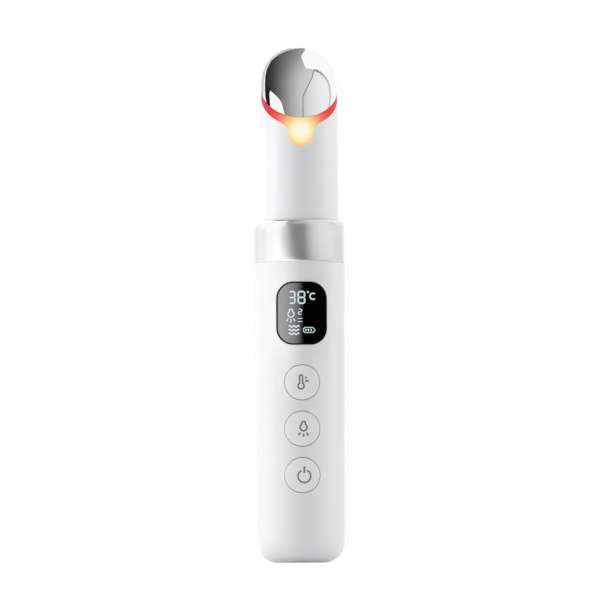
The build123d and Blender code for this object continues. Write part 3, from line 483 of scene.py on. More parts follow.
def finish(name, pattern, light, dark, rough, grain, bump=0.0, **sockets):
    """A material from a pattern group, kept in FINISHES; light and dark are its two colours, rough is
    (smooth, rough), and bump is the height of the pattern in metres."""
    material, out = new_material(name)
    tree = material.node_tree
    cover = node(tree, "ShaderNodeGroup", {"node_tree": pattern})
    for socket, value in {
        "Light": colour(*light), "Dark": colour(*dark),
        "Smooth": rough[0], "Rough": rough[1], "Grain": grain,
    }.items():
        cover.inputs[socket].default_value = value
    shader = node(tree, "ShaderNodeBsdfPrincipled", **sockets)
    tree.links.new(cover.outputs["Color"], shader.inputs["Base Color"])
    tree.links.new(cover.outputs["Roughness"], shader.inputs["Roughness"])
    if bump:
        relief = node(tree, "ShaderNodeBump", Strength=1.0, Distance=bump, Height=cover.outputs["Height"])
        tree.links.new(relief.outputs[0], shader.inputs["Normal"])
    tree.links.new(shader.outputs[0], out.inputs[0])
    FINISHES[name] = material
    return material

# %% [markdown]
# The shells and caps are white plastic with a faint clear coat, for the soft sheen of a moulded face.
# The collar is blasted and the head plated: both are fully metallic, and the grain and the roughness
# tell them apart. The window is nearly black under a strong coat, as polished acrylic is.

# %% Finishes of the outside
finish(
    "white_plastic", MOULDED, (0.925, 0.925, 0.93), (0.915, 0.915, 0.922), (0.30, 0.36), 7000.0, 2e-6,
    Coat_Weight=0.15, Coat_Roughness=0.25,
)
# The caps' white is a touch lighter than the shell's. That lighter white is painted light: it stands for
# the brighter light that their flatter faces catch.
finish(
    "button_plastic", MOULDED, (0.955, 0.953, 0.955), (0.945, 0.943, 0.947), (0.32, 0.38), 7000.0, 2e-6,
    Coat_Weight=0.1, Coat_Roughness=0.3,
)
finish(
    "collar_aluminium", BLASTED, (0.95, 0.95, 0.955), (0.88, 0.88, 0.885), (0.19, 0.24), 6500.0, 2e-6,
    Metallic=1.0,
)
finish("chrome", DRAWN, (0.98, 0.98, 0.985), (0.97, 0.97, 0.975), (0.015, 0.03), 3000.0, Metallic=1.0)
finish(
    "black_window", MOULDED, (0.015, 0.015, 0.018), (0.01, 0.01, 0.012), (0.05, 0.07), 2000.0,
    Coat_Weight=1.0, Coat_Roughness=0.03,
)
finish("dark_gasket", MOULDED, (0.20, 0.06, 0.06), (0.15, 0.04, 0.05), (0.5, 0.6), 6000.0, 4e-6)
print("finishes so far:", len(FINISHES))

# %% [markdown]
# The rest is inside and is seen when the wand is taken apart: dull rubber, chalky ceramic, a glass bead,
# lacquered boards, and the grey plastic of the chassis.

# %% Finishes of seals, heater and boards
finish("black_rubber", MOULDED, (0.09, 0.09, 0.09), (0.06, 0.06, 0.06), (0.6, 0.75), 5000.0, 6e-6)
finish("heater_ceramic", MOULDED, (0.90, 0.88, 0.84), (0.84, 0.82, 0.78), (0.55, 0.7), 6000.0, 6e-6)
finish(
    "glass_bead", MOULDED, (0.78, 0.56, 0.36), (0.66, 0.44, 0.26), (0.05, 0.1), 3000.0,
    Transmission_Weight=0.6,
)
finish("board_white", BOARD, (0.98, 0.97, 0.93), (0.90, 0.90, 0.88), (0.35, 0.5), 400.0, 1.5e-5)
finish("board_green", BOARD, (0.10, 0.42, 0.24), (0.06, 0.30, 0.17), (0.3, 0.42), 400.0, 1.5e-5)
finish("frame_plastic", MOULDED, (0.33, 0.34, 0.36), (0.28, 0.29, 0.31), (0.45, 0.6), 4000.0, 1e-5)
print("finishes so far:", len(FINISHES))

# %% [markdown]
# Metal is drawn where it was rolled, turned or pulled to wire, and blasted where it was pressed from
# powder, as the weight and the magnet are.

# %% Finishes of metals
finish("steel", DRAWN, (0.80, 0.80, 0.81), (0.66, 0.67, 0.68), (0.25, 0.4), 4000.0, 3e-6, Metallic=1.0)
finish(
    "screw_steel", DRAWN, (0.76, 0.77, 0.79), (0.60, 0.61, 0.63), (0.28, 0.42), 6000.0, 3e-6,
    Metallic=1.0,
)
finish(
    "switch_metal", DRAWN, (0.80, 0.80, 0.80), (0.68, 0.68, 0.68), (0.25, 0.35), 5000.0, 2e-6,
    Metallic=1.0,
)
finish(
    "weight_metal", BLASTED, (0.62, 0.61, 0.58), (0.44, 0.43, 0.41), (0.4, 0.55), 5000.0, 8e-6,
    Metallic=1.0,
)
finish("magnet", BLASTED, (0.28, 0.28, 0.29), (0.16, 0.16, 0.17), (0.5, 0.65), 5000.0, 8e-6, Metallic=0.6)
finish("copper", DRAWN, (0.86, 0.52, 0.32), (0.66, 0.34, 0.20), (0.25, 0.4), 5000.0, 6e-6, Metallic=1.0)
print("finishes so far:", len(FINISHES))

# %% [markdown]
# What is left is small plastic parts, chips, the cell's wrap with the shine of shrunk film, foam with
# coarse pores, and the skins of the leads and the ribbon.

# %% Finishes of small parts
finish("end_cap_plastic", MOULDED, (0.87, 0.86, 0.82), (0.80, 0.79, 0.74), (0.4, 0.55), 5000.0, 6e-6)
finish("actuator_plastic", MOULDED, (0.12, 0.12, 0.13), (0.08, 0.08, 0.09), (0.4, 0.5), 6000.0, 4e-6)
finish("chip_black", BLASTED, (0.10, 0.10, 0.11), (0.05, 0.05, 0.06), (0.45, 0.6), 9000.0, 5e-6)
finish("module_white", MOULDED, (0.90, 0.90, 0.88), (0.85, 0.85, 0.83), (0.3, 0.4), 5000.0, 3e-6)
finish(
    "cell_wrap", MOULDED, (0.18, 0.40, 0.70), (0.14, 0.32, 0.60), (0.2, 0.3), 2500.0, 6e-6,
    Coat_Weight=0.5, Coat_Roughness=0.1,
)
finish("foam", BLASTED, (0.17, 0.17, 0.17), (0.05, 0.05, 0.05), (0.8, 0.95), 4000.0, 4e-5)
finish("lead_red", MOULDED, (0.78, 0.10, 0.08), (0.66, 0.06, 0.05), (0.35, 0.5), 5000.0, 3e-6)
finish("lead_black", MOULDED, (0.09, 0.09, 0.09), (0.05, 0.05, 0.05), (0.35, 0.5), 5000.0, 3e-6)
finish("ribbon_film", DRAWN, (0.85, 0.52, 0.18), (0.66, 0.34, 0.08), (0.2, 0.3), 2500.0, 4e-6)
print("finishes so far:", len(FINISHES))

# %% [markdown]
# The lamps on the light board are small clear blocks that glow. Their glow is plain and even, so it is
# set on the shader's own sockets.

# %% Lit lamps
def lit(name, tint, base):
    """A small lamp's lens: the moulded skin with an even glow."""
    finish(
        name, MOULDED, base, base, (0.2, 0.3), 5000.0, 2e-6,
        Emission_Color=colour(*tint), Emission_Strength=1.0,
    )


lit("led_red", (0.90, 0.20, 0.18), (0.90, 0.25, 0.22))
lit("led_amber", (1.0, 0.78, 0.45), (0.98, 0.75, 0.35))

# %% [markdown]
# ## The light ring
# Red lamps light the frosted ring from inside, and two warm lamps stand behind the drop-shaped lobe.
# Real lamps inside frosted plastic would render slowly and with grain, so the plastic glows by itself.
# Seen from outside, the glow is nearly white in the lobe's middle, yellow and orange round it, and red
# from a few millimetres away all the way to the back. So the colour follows the distance to the lobe's
# middle, with a colour ramp; the distance is counted a little longer downwards. Away from the lobe the
# band is also a little dimmer at its two edges, by the square of the share of the way from its middle
# line.

# %% Glow of the light ring
GLOW_STOPS = (
    (0.00, (0.99, 0.965, 0.935)),
    (0.11, (0.985, 0.96, 0.87)),
    (0.18, (0.965, 0.945, 0.76)),
    (0.28, (0.965, 0.85, 0.57)),
    (0.38, (0.955, 0.705, 0.46)),
    (0.49, (0.98, 0.51, 0.44)),
    (0.60, (0.965, 0.33, 0.31)),
    (0.76, (0.925, 0.17, 0.20)),
    (1.00, (0.885, 0.12, 0.15)),
)
GLOW_REACH = 14.0 * MM
GLOW_MIDDLE = (0.0, -10.8 * MM, 123.7 * MM)
GLOW_DROP = 1.18
EDGE_FADE = 0.30

material, out = new_material("light_guide_plastic")
tree = material.node_tree
place = object_place(tree)
offset = node(tree, "ShaderNodeVectorMath", {"operation": "SUBTRACT"})
put(tree, offset.inputs[0], place)
offset.inputs[1].default_value = GLOW_MIDDLE
parts = node(tree, "ShaderNodeSeparateXYZ", Vector=offset.outputs[0])
below = maths(tree, "MULTIPLY", maths(tree, "MINIMUM", parts.outputs["Z"], 0.0), GLOW_DROP)
height = maths(tree, "ADD", maths(tree, "MAXIMUM", parts.outputs["Z"], 0.0), below)
stretched = node(tree, "ShaderNodeCombineXYZ", X=parts.outputs["X"], Y=parts.outputs["Y"], Z=height)
away = node(tree, "ShaderNodeVectorMath", {"operation": "LENGTH"})
put(tree, away.inputs[0], stretched.outputs[0])
share = maths(tree, "DIVIDE", away.outputs["Value"], GLOW_REACH)
glow = ramp(tree, share, GLOW_STOPS)
parts = node(tree, "ShaderNodeSeparateXYZ", Vector=place)
lean = maths(tree, "MULTIPLY", parts.outputs["Y"], HEAD_SLOPE)
level_height = maths(tree, "SUBTRACT", parts.outputs["Z"], lean)
from_middle = maths(tree, "SUBTRACT", level_height, (BAND_TOP - BAND_WIDTH / 2) * MM)
across = maths(tree, "DIVIDE", from_middle, BAND_WIDTH / 2 * MM)
edge = maths(tree, "MINIMUM", maths(tree, "MULTIPLY", across, across), 1.0)
edge = maths(tree, "MULTIPLY", edge, level(tree, share, 0.35, 0.6, 0.0, EDGE_FADE))
shader = node(
    tree, "ShaderNodeBsdfPrincipled", Base_Color=colour(0.22, 0.06, 0.07), Roughness=0.4,
    Specular_IOR_Level=0.25, Emission_Strength=maths(tree, "SUBTRACT", 1.0, edge),
)
tree.links.new(glow, shader.inputs["Emission Color"])
tree.links.new(shader.outputs[0], out.inputs[0])
FINISHES["light_guide_plastic"] = material

# %% Every solid gets its finish
slots = {part["node"]: part["material_slot"] for part in frame["record"]["subparts"]}
for name, piece in nodes.items():
    piece.data.materials.clear()
    piece.data.materials.append(FINISHES[slots[name]])
print("dressed:", len(nodes), "solids")

# %% [markdown]
# ## The mirror-polished head
# The head is cast, ground to a slanted dome and plated. A mirror shows every facet, so the dome is
# made again here as a smooth surface with the same formula as the solid. Every ring of it is a
# level ellipse leaned over by the head's slant: a point at radius r and rise h stands at height
# seam + h + slope * y.

# %% Slanted surfaces
def leaned(radius, rise, turns=256):
    """A profile turned about the axis and leaned: each point is lifted by the slope times its y."""
    angle = np.linspace(0.0, 2 * np.pi, turns, endpoint=False)
    x = radius[:, None] * np.cos(angle)
    y = radius[:, None] * np.sin(angle)
    z = HEAD_SEAM + rise[:, None] + HEAD_SLOPE * y
    return np.stack([x, y, z], axis=-1)


def polished_head():
    """The dome is a super-ellipse, r = R cos(s)^(2/p) and h = H sin(s)^(2/p); below it come the foot,
    the skirt and the flat ceiling of the cavity, then the two screw bosses as plain tubes."""
    s = np.linspace(np.pi / 2, 0.0, 160)
    radius = NECK_RADIUS * np.clip(np.cos(s), 0.0, 1.0) ** (2 / CROWN_POWER)
    rise = CROWN_HEIGHT * np.sin(s) ** (2 / CROWN_POWER)
    inside_r = np.array([SKIRT_RADIUS, SKIRT_RADIUS, SKIRT_BORE, SKIRT_BORE, 0.0])
    inside_h = np.array([0.0, -SKIRT_DEPTH, -SKIRT_DEPTH, CAVITY_DEPTH, CAVITY_DEPTH])
    shell = leaned(np.append(radius, inside_r), np.append(rise, inside_h))
    grids = [(shell, False, True)]
    ring = np.linspace(0.0, 2 * np.pi, 32, endpoint=False)
    bottom = HEAD_SEAM - BOSS_DROP
    outline = np.array([
        (BOSS_BORE, bottom + BOSS_HOLE), (BOSS_BORE, bottom),
        (BOSS_RADIUS, bottom), (BOSS_RADIUS, HEAD_SEAM + BOSS_ROOT),
    ])
    for side in (-1, 1):
        x = side * BOSS_OFFSET + outline[:, :1] * np.cos(ring)
        y = outline[:, :1] * np.sin(ring)
        z = np.repeat(outline[:, 1:], len(ring), axis=1)
        grids.append((np.stack([x, y, z], axis=-1), False, True))
    return skin("polished_head", grids)


head = outward(polished_head())
head.data.set_sharp_from_angle(angle=np.radians(30.0))
head.data.materials.append(FINISHES["chrome"])
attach(head, "wand")
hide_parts("massage_head")

# %% [markdown]
# ## Printed signs and lit figures
# The signs on the buttons are printed in grey, and the figures in the window are lit from behind.
# They could be images on the surface, but thin meshes stay sharp from close by. Both are lines of an
# even width. `line` carries a width along a path: at each point the edge moves out along the mean of
# its neighbours' normals, lengthened at a corner so that the width stays. The flat drawing is then
# laid on the curved surface that carries it, a hair above it.

# %% Lines in a flat drawing
STEP = 0.15


def resampled(points, closed):
    """A path with points added in each straight length, so that none is longer than a step."""
    ends = points[1:] if not closed else np.roll(points, -1, axis=0)
    pieces = []
    for start, end in zip(points, ends):
        count = max(int(np.ceil(np.linalg.norm(end - start) / STEP)), 1)
        share = np.arange(count)[:, None] / count
        pieces.append(start + (end - start) * share)
    return np.vstack(pieces if closed else [*pieces, points[-1:]])


def line(points, width, closed=False):
    """A grid of two edges beside a path: point +- width / 2 along the mitred normal."""
    points = resampled(np.asarray(points, dtype=float), closed)
    ahead = np.roll(points, -1, axis=0) - points
    ahead /= np.linalg.norm(ahead, axis=1, keepdims=True) + 1e-12
    if not closed:
        ahead[-1] = ahead[-2]
    behind = np.roll(ahead, 1, axis=0)
    if not closed:
        behind[0] = ahead[0]
    normal = np.stack([-(ahead + behind)[:, 1], (ahead + behind)[:, 0]], axis=-1)
    normal /= np.linalg.norm(normal, axis=1, keepdims=True) + 1e-12
    side = np.stack([-ahead[:, 1], ahead[:, 0]], axis=-1)
    reach = 1.0 / np.clip(np.sum(normal * side, axis=1, keepdims=True), 0.4, 1.0)
    edge = normal * reach * width / 2
    return np.stack([points - edge, points + edge], axis=1), closed


def arc(centre, radius, start, end, count=40):
    """Points round a circle from one angle to another, in degrees from the right."""
    angle = np.radians(np.linspace(start, end, count))
    return np.stack([centre[0] + radius * np.cos(angle), centre[1] + radius * np.sin(angle)], axis=-1)


def laid_on(name, marks, middle, radius, height, slant=0.0, lift=0.012):
    """Lays a drawing of x and height on the front of an upright cylinder: y = middle - sqrt(r^2 - x^2).
    slant is how much the radius grows per millimetre of height, lift how far the drawing stands off."""
    grids = []
    for points, closed in marks:
        x = points[..., 0]
        z = points[..., 1] + height
        y = middle - np.sqrt((radius + lift + slant * points[..., 1]) ** 2 - x ** 2)
        grids.append((np.stack([x, y, z], axis=-1), closed, False))
    return skin(name, grids, smooth=False)

# %% [markdown]
# ## Signs on the buttons
# From the top they are a thermometer with two scale marks, a hanging lamp with three rays, and the
# usual ring and bar for power. Each is drawn about the middle of its cap, in millimetres to the right
# and up.

# %% Button signs
SIGN_WIDTH = 0.44


def thermometer():
    """A stem and a bulb as one closed line, and two scale marks."""
    middle = -0.30
    stem, stem_top = 0.42, 1.72
    bulb, bulb_height = 0.86, -1.01
    opening = np.degrees(np.arcsin(stem / bulb))
    below = arc((middle, bulb_height), bulb, 90 + opening, 450 - opening, 48)
    above = arc((middle, stem_top), stem, 0, 180, 24)
    return [
        line(np.vstack([below, above]), SIGN_WIDTH, closed=True),
        line([(0.80, 1.36), (1.44, 1.36)], SIGN_WIDTH * 0.95),
        line([(0.80, 0.40), (1.98, 0.40)], SIGN_WIDTH * 0.95),
    ]


def cubic(points, count):
    """Points of a Bezier curve after its first one: each control point counts by its weight, and the
    weights are (1 - t)^3, 3t(1 - t)^2, 3t^2(1 - t) and t^3."""
    share = np.linspace(0.0, 1.0, count + 1)[1:, None]
    rest = 1 - share
    weights = (rest ** 3, 3 * share * rest ** 2, 3 * share ** 2 * rest, share ** 3)
    return sum(weight * np.array(point) for weight, point in zip(weights, points))


def direction(angle):
    """The unit step at an angle, in degrees from the right."""
    return np.array([np.cos(np.radians(angle)), np.sin(np.radians(angle))])


def hanging_lamp(centre, size, width):
    """A glass that is narrow above and round below, with three rays under it. Each side is a cubic
    that leaves the round part along it and ends upright below the rounded top."""
    neck, top, opening = 0.47 * size, 1.42 * size, 42
    round_part = arc((0.0, 0.0), size, 90 + opening, 450 - opening, 48)
    start = round_part[-1]
    leaving = start + direction(180 - opening) * 0.3 * size
    side = cubic([start, leaving, (neck, top - 0.15 * size), (neck, top)], 11)
    flat_arc = arc((0.0, 0.0), neck, 15, 165, 12) * (1.0, 0.6) + (0.0, top)
    glass = np.vstack([round_part, side, flat_arc, side[::-1] * (-1.0, 1.0)]) + centre
    rays = [
        line([centre + direction(angle) * size * 1.72, centre + direction(angle) * size * 2.70], width)
        for angle in (-122, -90, -60)
    ]
    return [line(glass, width, closed=True), *rays]


def power():
    """A ring that is open at its top, and a bar through the opening."""
    middle, height, radius = 0.53, -0.32, 1.82
    return [
        line(arc((middle, height), radius, 117, 423, 64), SIGN_WIDTH),
        line([(middle, 0.62), (middle, 2.46)], SIGN_WIDTH * 1.15),
    ]


SIGNS = {
    "temperature": thermometer(),
    "light": hanging_lamp((0.35, 0.38), 1.0, SIGN_WIDTH),
    "power": power(),
}
ink = finish("sign_ink", MOULDED, (0.43, 0.415, 0.42), (0.40, 0.39, 0.395), (0.45, 0.55), 6000.0, 1e-6)
for name, marks in SIGNS.items():
    height = BUTTON_HEIGHTS[name]
    middle = CAP_SINK - handle_radius_at(height) + CAP_FACE_RADIUS
    sign = laid_on(name + "_sign", marks, middle, CAP_FACE_RADIUS, height)
    sign.data.materials.append(ink)
    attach(sign, name + "_key")

# %% [markdown]
# ## Figures in the window
# The display is a lamp module behind black acrylic. It shows the temperature in seven-bar digits,
# the light's sign with its level over two dashes, three waves for the shaking, and the battery. The
# real ones shine through the acrylic. Here they lie on its face and glow by themselves, which looks
# the same and needs no light inside. All are placed about the middle of the window, in millimetres to
# the right and up.

# %% Display figures
BARS = {"3": "abcdg", "8": "abcdefg", "2": "abdeg"}
BAR_TIP = 0.02


def bar(start, end, width):
    """One bar of a digit: a slim hexagon with pointed ends, as a grid along its length."""
    start, end = np.array(start, dtype=float), np.array(end, dtype=float)
    length = np.linalg.norm(end - start)
    along = (end - start) / length
    across = np.array([-along[1], along[0]])
    middle = np.linspace(width / 2, length - width / 2, max(int(length / STEP), 2))
    way = np.concatenate([[0.0], middle, [length]])[:, None]
    half = np.full_like(way, width / 2)
    half[0] = BAR_TIP
    half[-1] = BAR_TIP
    path = start + along * way
    return np.stack([path - across * half, path + across * half], axis=1), False


def digit(sign, left, bottom, width, height, stroke):
    """A digit of up to seven bars that run between the six corners of a figure eight."""
    gap = stroke * 0.10
    x0, x1 = left + stroke / 2, left + width - stroke / 2
    z0, z1 = bottom + stroke / 2, bottom + height - stroke / 2
    zm = (z0 + z1) / 2
    ends = {
        "a": ((x0 + gap, z1), (x1 - gap, z1)),
        "b": ((x1, z1 - gap), (x1, zm + gap)),
        "c": ((x1, zm - gap), (x1, z0 + gap)),
        "d": ((x0 + gap, z0), (x1 - gap, z0)),
        "e": ((x0, zm - gap), (x0, z0 + gap)),
        "f": ((x0, z1 - gap), (x0, zm + gap)),
        "g": ((x0 + gap, zm), (x1 - gap, zm)),
    }
    return [bar(*ends[key], stroke) for key in BARS[sign]]


def wave(height, left=-3.75, right=-0.72, swing=0.2, period=1.2):
    """A level sine line: height + swing * sin(2 pi (x - left) / period)."""
    x = np.linspace(left, right, 60)
    z = height + swing * np.sin((x - left) * 2 * np.pi / period)
    return line(np.stack([x, z], axis=-1), 0.38)


def battery():
    """A long outline with cut corners and a pointed end, and three bars of charge."""
    outline = [
        (0.80, -4.13), (3.20, -4.13), (3.80, -4.84), (3.20, -5.55), (0.80, -5.55),
        (0.42, -5.20), (0.42, -4.48),
    ]
    bars = [line([(x, -4.56), (x, -5.12)], 0.40) for x in (1.10, 1.87, 2.64)]
    return [line(outline, 0.22, closed=True), *bars]


FIGURES = [
    *digit("3", left=-3.80, bottom=2.58, width=2.02, height=3.80, stroke=0.47),
    *digit("8", left=-1.26, bottom=2.58, width=2.28, height=3.80, stroke=0.47),
    line(arc((1.74, 6.02), 0.16, 0, 342, 20), 0.28, closed=True),
    line(arc((3.20, 4.82), 0.86, 50, 310, 32), 0.40),
    *hanging_lamp((-3.10, -0.30), 0.86, 0.34),
    *digit("2", left=-1.15, bottom=-0.50, width=1.25, height=1.75, stroke=0.28),
    *[line([(-1.15, z), (0.10, z)], 0.24) for z in (-1.52, -2.42)],
    *[wave(z) for z in (-3.81, -4.88, -5.95)],
    *battery(),
]
figures = laid_on(
    "display_figures", FIGURES, 0.0, handle_radius_at(DISPLAY_HEIGHT), DISPLAY_HEIGHT,
    slant=HANDLE_DRAFT / HANDLE_HEIGHT,
)
figures.data.materials.append(finish(
    "lit_figures", MOULDED, (0.40, 0.44, 0.44), (0.37, 0.41, 0.41), (0.3, 0.4), 5000.0,
    Emission_Color=colour(0.80, 0.885, 0.885), Emission_Strength=0.8,
))
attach(figures, "wand")

# %% [markdown]
# Such windows are printed black on their back, right up to the edge, and the print shows as a dull
# rim round the shine. It is a closed line that follows the window's rounded outline.

# %% Printed frame of the window
RIM_WIDTH = 0.42


def rounded_outline(width, length, radius):
    """A rounded rectangle about the origin, from four quarter circles."""
    x, z = width / 2 - radius, length / 2 - radius
    return np.vstack([
        arc((side_x * x, side_z * z), radius, turn, turn + 90, 20)
        for side_x, side_z, turn in ((1, 1, 0), (-1, 1, 90), (-1, -1, 180), (1, -1, 270))
    ])


window = np.array(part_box("display_lens")) / MM
width, _, length = window[1] - window[0] - RIM_WIDTH
outline = rounded_outline(width, length, LENS_CORNER - RIM_WIDTH / 2)
printed = laid_on(
    "window_frame", [line(outline, RIM_WIDTH, closed=True)],
    0.0, handle_radius_at(DISPLAY_HEIGHT), DISPLAY_HEIGHT, slant=HANDLE_DRAFT / HANDLE_HEIGHT,
)
printed.data.materials.append(finish(
    "frame_ink", MOULDED, (0.05, 0.05, 0.052), (0.03, 0.03, 0.032), (0.8, 0.9), 6000.0, 1e-6,
    Specular_IOR_Level=0.05,
))
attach(printed, "wand")

# %% [markdown]
# ## Boards that the mirror shows
# The polished head shows the whole studio, so what stands there draws the pattern on it. Placing the
# boards by trial would take long, because a curved mirror bends every edge. So each board is planned
# backwards: its outline is wanted on the head, so lines of sight are followed from the camera to the
# head, mirrored there, and carried on to a large ball round the studio, where the board is hung. The
# collar and the black window have boards of their own, which stand round the wand.

# %% Lines of sight
SEARCH = 16.0
HALVINGS = 24


def depth_in_head(points):
    """Super-ellipse measure: (r / R)^p + (h / H)^p - 1, below zero inside the dome; below the seam the
    dome is carried on as an upright cylinder."""
    x, y, z = np.moveaxis(points, -1, 0)
    h = np.maximum(z - HEAD_SEAM - HEAD_SLOPE * y, 0.0)
    return (np.hypot(x, y) / NECK_RADIUS) ** CROWN_POWER + (h / CROWN_HEIGHT) ** CROWN_POWER - 1


def sight_lines(across, up, steps):
    """The camera's place, the unit lines of sight towards (across, 0, up), and steps along each of
    them, from SEARCH before that point to SEARCH behind it."""
    start = np.array(camera.location) / MM
    sight = np.stack([across, np.zeros_like(across), up], axis=-1) - start
    length = np.linalg.norm(sight, axis=-1, keepdims=True)
    return start, sight / length, length + np.linspace(-SEARCH, SEARCH, steps)


def mirrored(across, up, distance):
    """Points at a distance from the head that its mirror shows at (across, up), in millimetres.
    The line of sight is halved again and again to find the dome, and turned there by d - 2 (d.n) n."""
    start, sight, reach = sight_lines(across, up, 401)
    inside = depth_in_head(start + sight[..., None, :] * reach[..., None]) <= 0
    first = np.argmax(inside, axis=-1)
    near = np.take_along_axis(reach, np.maximum(first - 1, 0)[..., None], axis=-1)[..., 0]
    far = np.take_along_axis(reach, first[..., None], axis=-1)[..., 0]
    for _ in range(HALVINGS):
        middle = (near + far) / 2
        within = depth_in_head(start + sight * middle[..., None]) <= 0
        far = np.where(within, middle, far)
        near = np.where(within, near, middle)
    place = start + sight * far[..., None]
    x, y, z = np.moveaxis(place, -1, 0)
    r = np.hypot(x, y)
    h = np.maximum(z - HEAD_SEAM - HEAD_SLOPE * y, 1e-6)
    side = CROWN_POWER * (r / NECK_RADIUS) ** (CROWN_POWER - 1) / NECK_RADIUS
    lift = CROWN_POWER * (h / CROWN_HEIGHT) ** (CROWN_POWER - 1) / CROWN_HEIGHT
    normal = np.stack([side * x / r, side * y / r - lift * HEAD_SLOPE, lift], axis=-1)
    normal /= np.linalg.norm(normal, axis=-1, keepdims=True)
    turned = sight - 2 * np.sum(sight * normal, axis=-1, keepdims=True) * normal
    return place + turned * distance


def silhouette(up, side):
    """How far across the head still reaches at a height, on one side; found by halving."""
    near, far = np.zeros_like(up), np.full_like(up, HANDLE_RADIUS * side)
    for _ in range(HALVINGS):
        middle = (near + far) / 2
        start, sight, reach = sight_lines(middle, up, 801)
        met = (depth_in_head(start + sight[..., None, :] * reach[..., None]) <= 0).any(axis=-1)
        near, far = np.where(met, middle, near), np.where(met, far, middle)
    return near

# %% [markdown]
# A board glows by itself, and its grey follows a value that is stored on its mesh, so one board can
# fade from dark to pale. The camera, the floor and the dull surfaces don't see it.

# %% Boards
def across_at(up, points):
    """How far across a line of (across, up) points is at given heights."""
    across, heights = np.array(sorted(points, key=lambda point: point[1])).T
    return np.interp(up, heights, across)


def between(left, right, rows=60, columns=24):
    """A grid between two lines of (across, up); both are read at the same heights."""
    low = max(min(point[1] for point in side) for side in (left, right))
    high = min(max(point[1] for point in side) for side in (left, right))
    up = np.linspace(low, high, rows)
    start, end = across_at(up, left), across_at(up, right)
    across = start[:, None] + (end - start)[:, None] * np.linspace(0.0, 1.0, columns)
    return across, np.repeat(up[:, None], columns, axis=1)


def shining(name, stops, power):
    """A plain glowing material whose grey follows the board's own stored value."""
    material, out = new_material(name)
    tree = material.node_tree
    value = node(tree, "ShaderNodeAttribute", {"attribute_name": "tone"})
    grey = ramp(tree, value.outputs["Fac"], [(place, (tone, tone, tone)) for place, tone in stops])
    glow = node(tree, "ShaderNodeEmission", Color=grey, Strength=power)
    tree.links.new(glow.outputs[0], out.inputs[0])
    return material


def hang(name, points, tone, stops, power=1.0):
    """Hangs a board that only reflections see; tone is its stored value, from 0 to 1."""
    board = skin(name, [(points, False, False)], smooth=False)
    stored = board.data.attributes.new("tone", "FLOAT", "POINT")
    stored.data.foreach_set("value", np.ascontiguousarray(tone, dtype=np.float32).ravel())
    board.data.materials.append(shining(name, stops, power))
    board.visible_camera = False
    board.visible_diffuse = False
    board.visible_transmission = False
    board.visible_shadow = False


CROWD_FROM = 139.3
CROWD_EDGE = -8.58


def from_head(name, left, right, distance, stops, crowding=0.0):
    """A board planned on the head, between two lines; its tone runs across the head. Above CROWD_FROM
    the tones close in on CROWD_EDGE, by the crowding for each millimetre of height."""
    across, up = between(left, right)
    share = 1.0 - crowding * np.maximum(up - CROWD_FROM, 0.0)
    tone = (CROWD_EDGE + (across - CROWD_EDGE) * share + NECK_RADIUS) / (2 * NECK_RADIUS)
    hang(name, mirrored(across, up, distance), tone, stops)

# %% [markdown]
# The dark board fills the left half of the head and fades to the right. A darker strip stands at its
# left edge, a pale board in the right half, and thin grey lines part them and edge the head, as the
# corners and seams of a studio do. Each outline is a list of (across, up) in millimetres on the head.

# %% The boards on the head
DARK_LEFT = [
    (0, 148.8), (-3.73, 148.0), (-6.1, 146.84), (-8.15, 145.1), (-9.45, 142.5), (-9.82, 140.46),
    (-9.91, 138.15), (-9.91, 136.59), (-8.38, 136.54), (-6.07, 134.4), (-5.06, 132.95), (-4.48, 130.5),
    (-3.9, 128.62), (-3.6, 127.2),
]
DARK_RIGHT = [
    (1.79, 148.8), (1.79, 148.18), (0.58, 146.45), (2.02, 142.72), (4.33, 142.66), (3.64, 140.38),
    (1.33, 135.49), (0.95, 134.54), (1.01, 127.2),
]
STRIP_LEFT = [
    (-9.91, 137.4), (-9.91, 136.59), (-9.82, 134.69), (-9.39, 132.66), (-8.84, 131.36), (-8.5, 130.6),
]
STRIP_RIGHT = [
    (-8.38, 137.4), (-8.38, 136.59), (-8.61, 135.55), (-8.5, 133.53), (-8.32, 131.36), (-8.2, 130.6),
]
PALE_LEFT = [
    (4.51, 142.66), (3.84, 140.38), (1.53, 135.49), (1.18, 134.54), (1.24, 127.2),
]
PALE_RIGHT = [
    (4.62, 142.66), (6.21, 141.68), (7.57, 140.29), (8.38, 138.7), (8.84, 136.68), (8.93, 134.66),
    (8.70, 132.2), (7.2, 130.2), (4.3, 128.2), (1.73, 127.2),
]
SEAM_LEFT = [
    (4.29, 142.66), (3.62, 140.38), (1.31, 135.49), (0.97, 134.54), (1.02, 127.2),
]
SEAM_RIGHT = [
    (4.57, 142.66), (3.9, 140.38), (1.59, 135.49), (1.21, 134.54), (1.26, 127.2),
]
RIM_LEFT = [
    (4.1, 142.66), (4.75, 142.1), (6.05, 141.4), (7.48, 140.1), (8.26, 138.6), (8.73, 136.68),
    (8.84, 134.66), (8.58, 132.52), (8.3, 131.4),
]
RIM_RIGHT = [
    (4.77, 142.9), (6.53, 141.85), (7.98, 140.29), (8.78, 138.7), (9.22, 136.68), (9.27, 134.66),
    (9.01, 132.52), (8.75, 131.4),
]
EDGE_INSIDE = [
    (0.3, 148.75), (-3.8, 148.0), (-6.2, 146.85), (-8.25, 145.1), (-9.65, 142.5), (-10.05, 140.2),
    (-10.25, 137.6), (-10.3, 134.6),
]

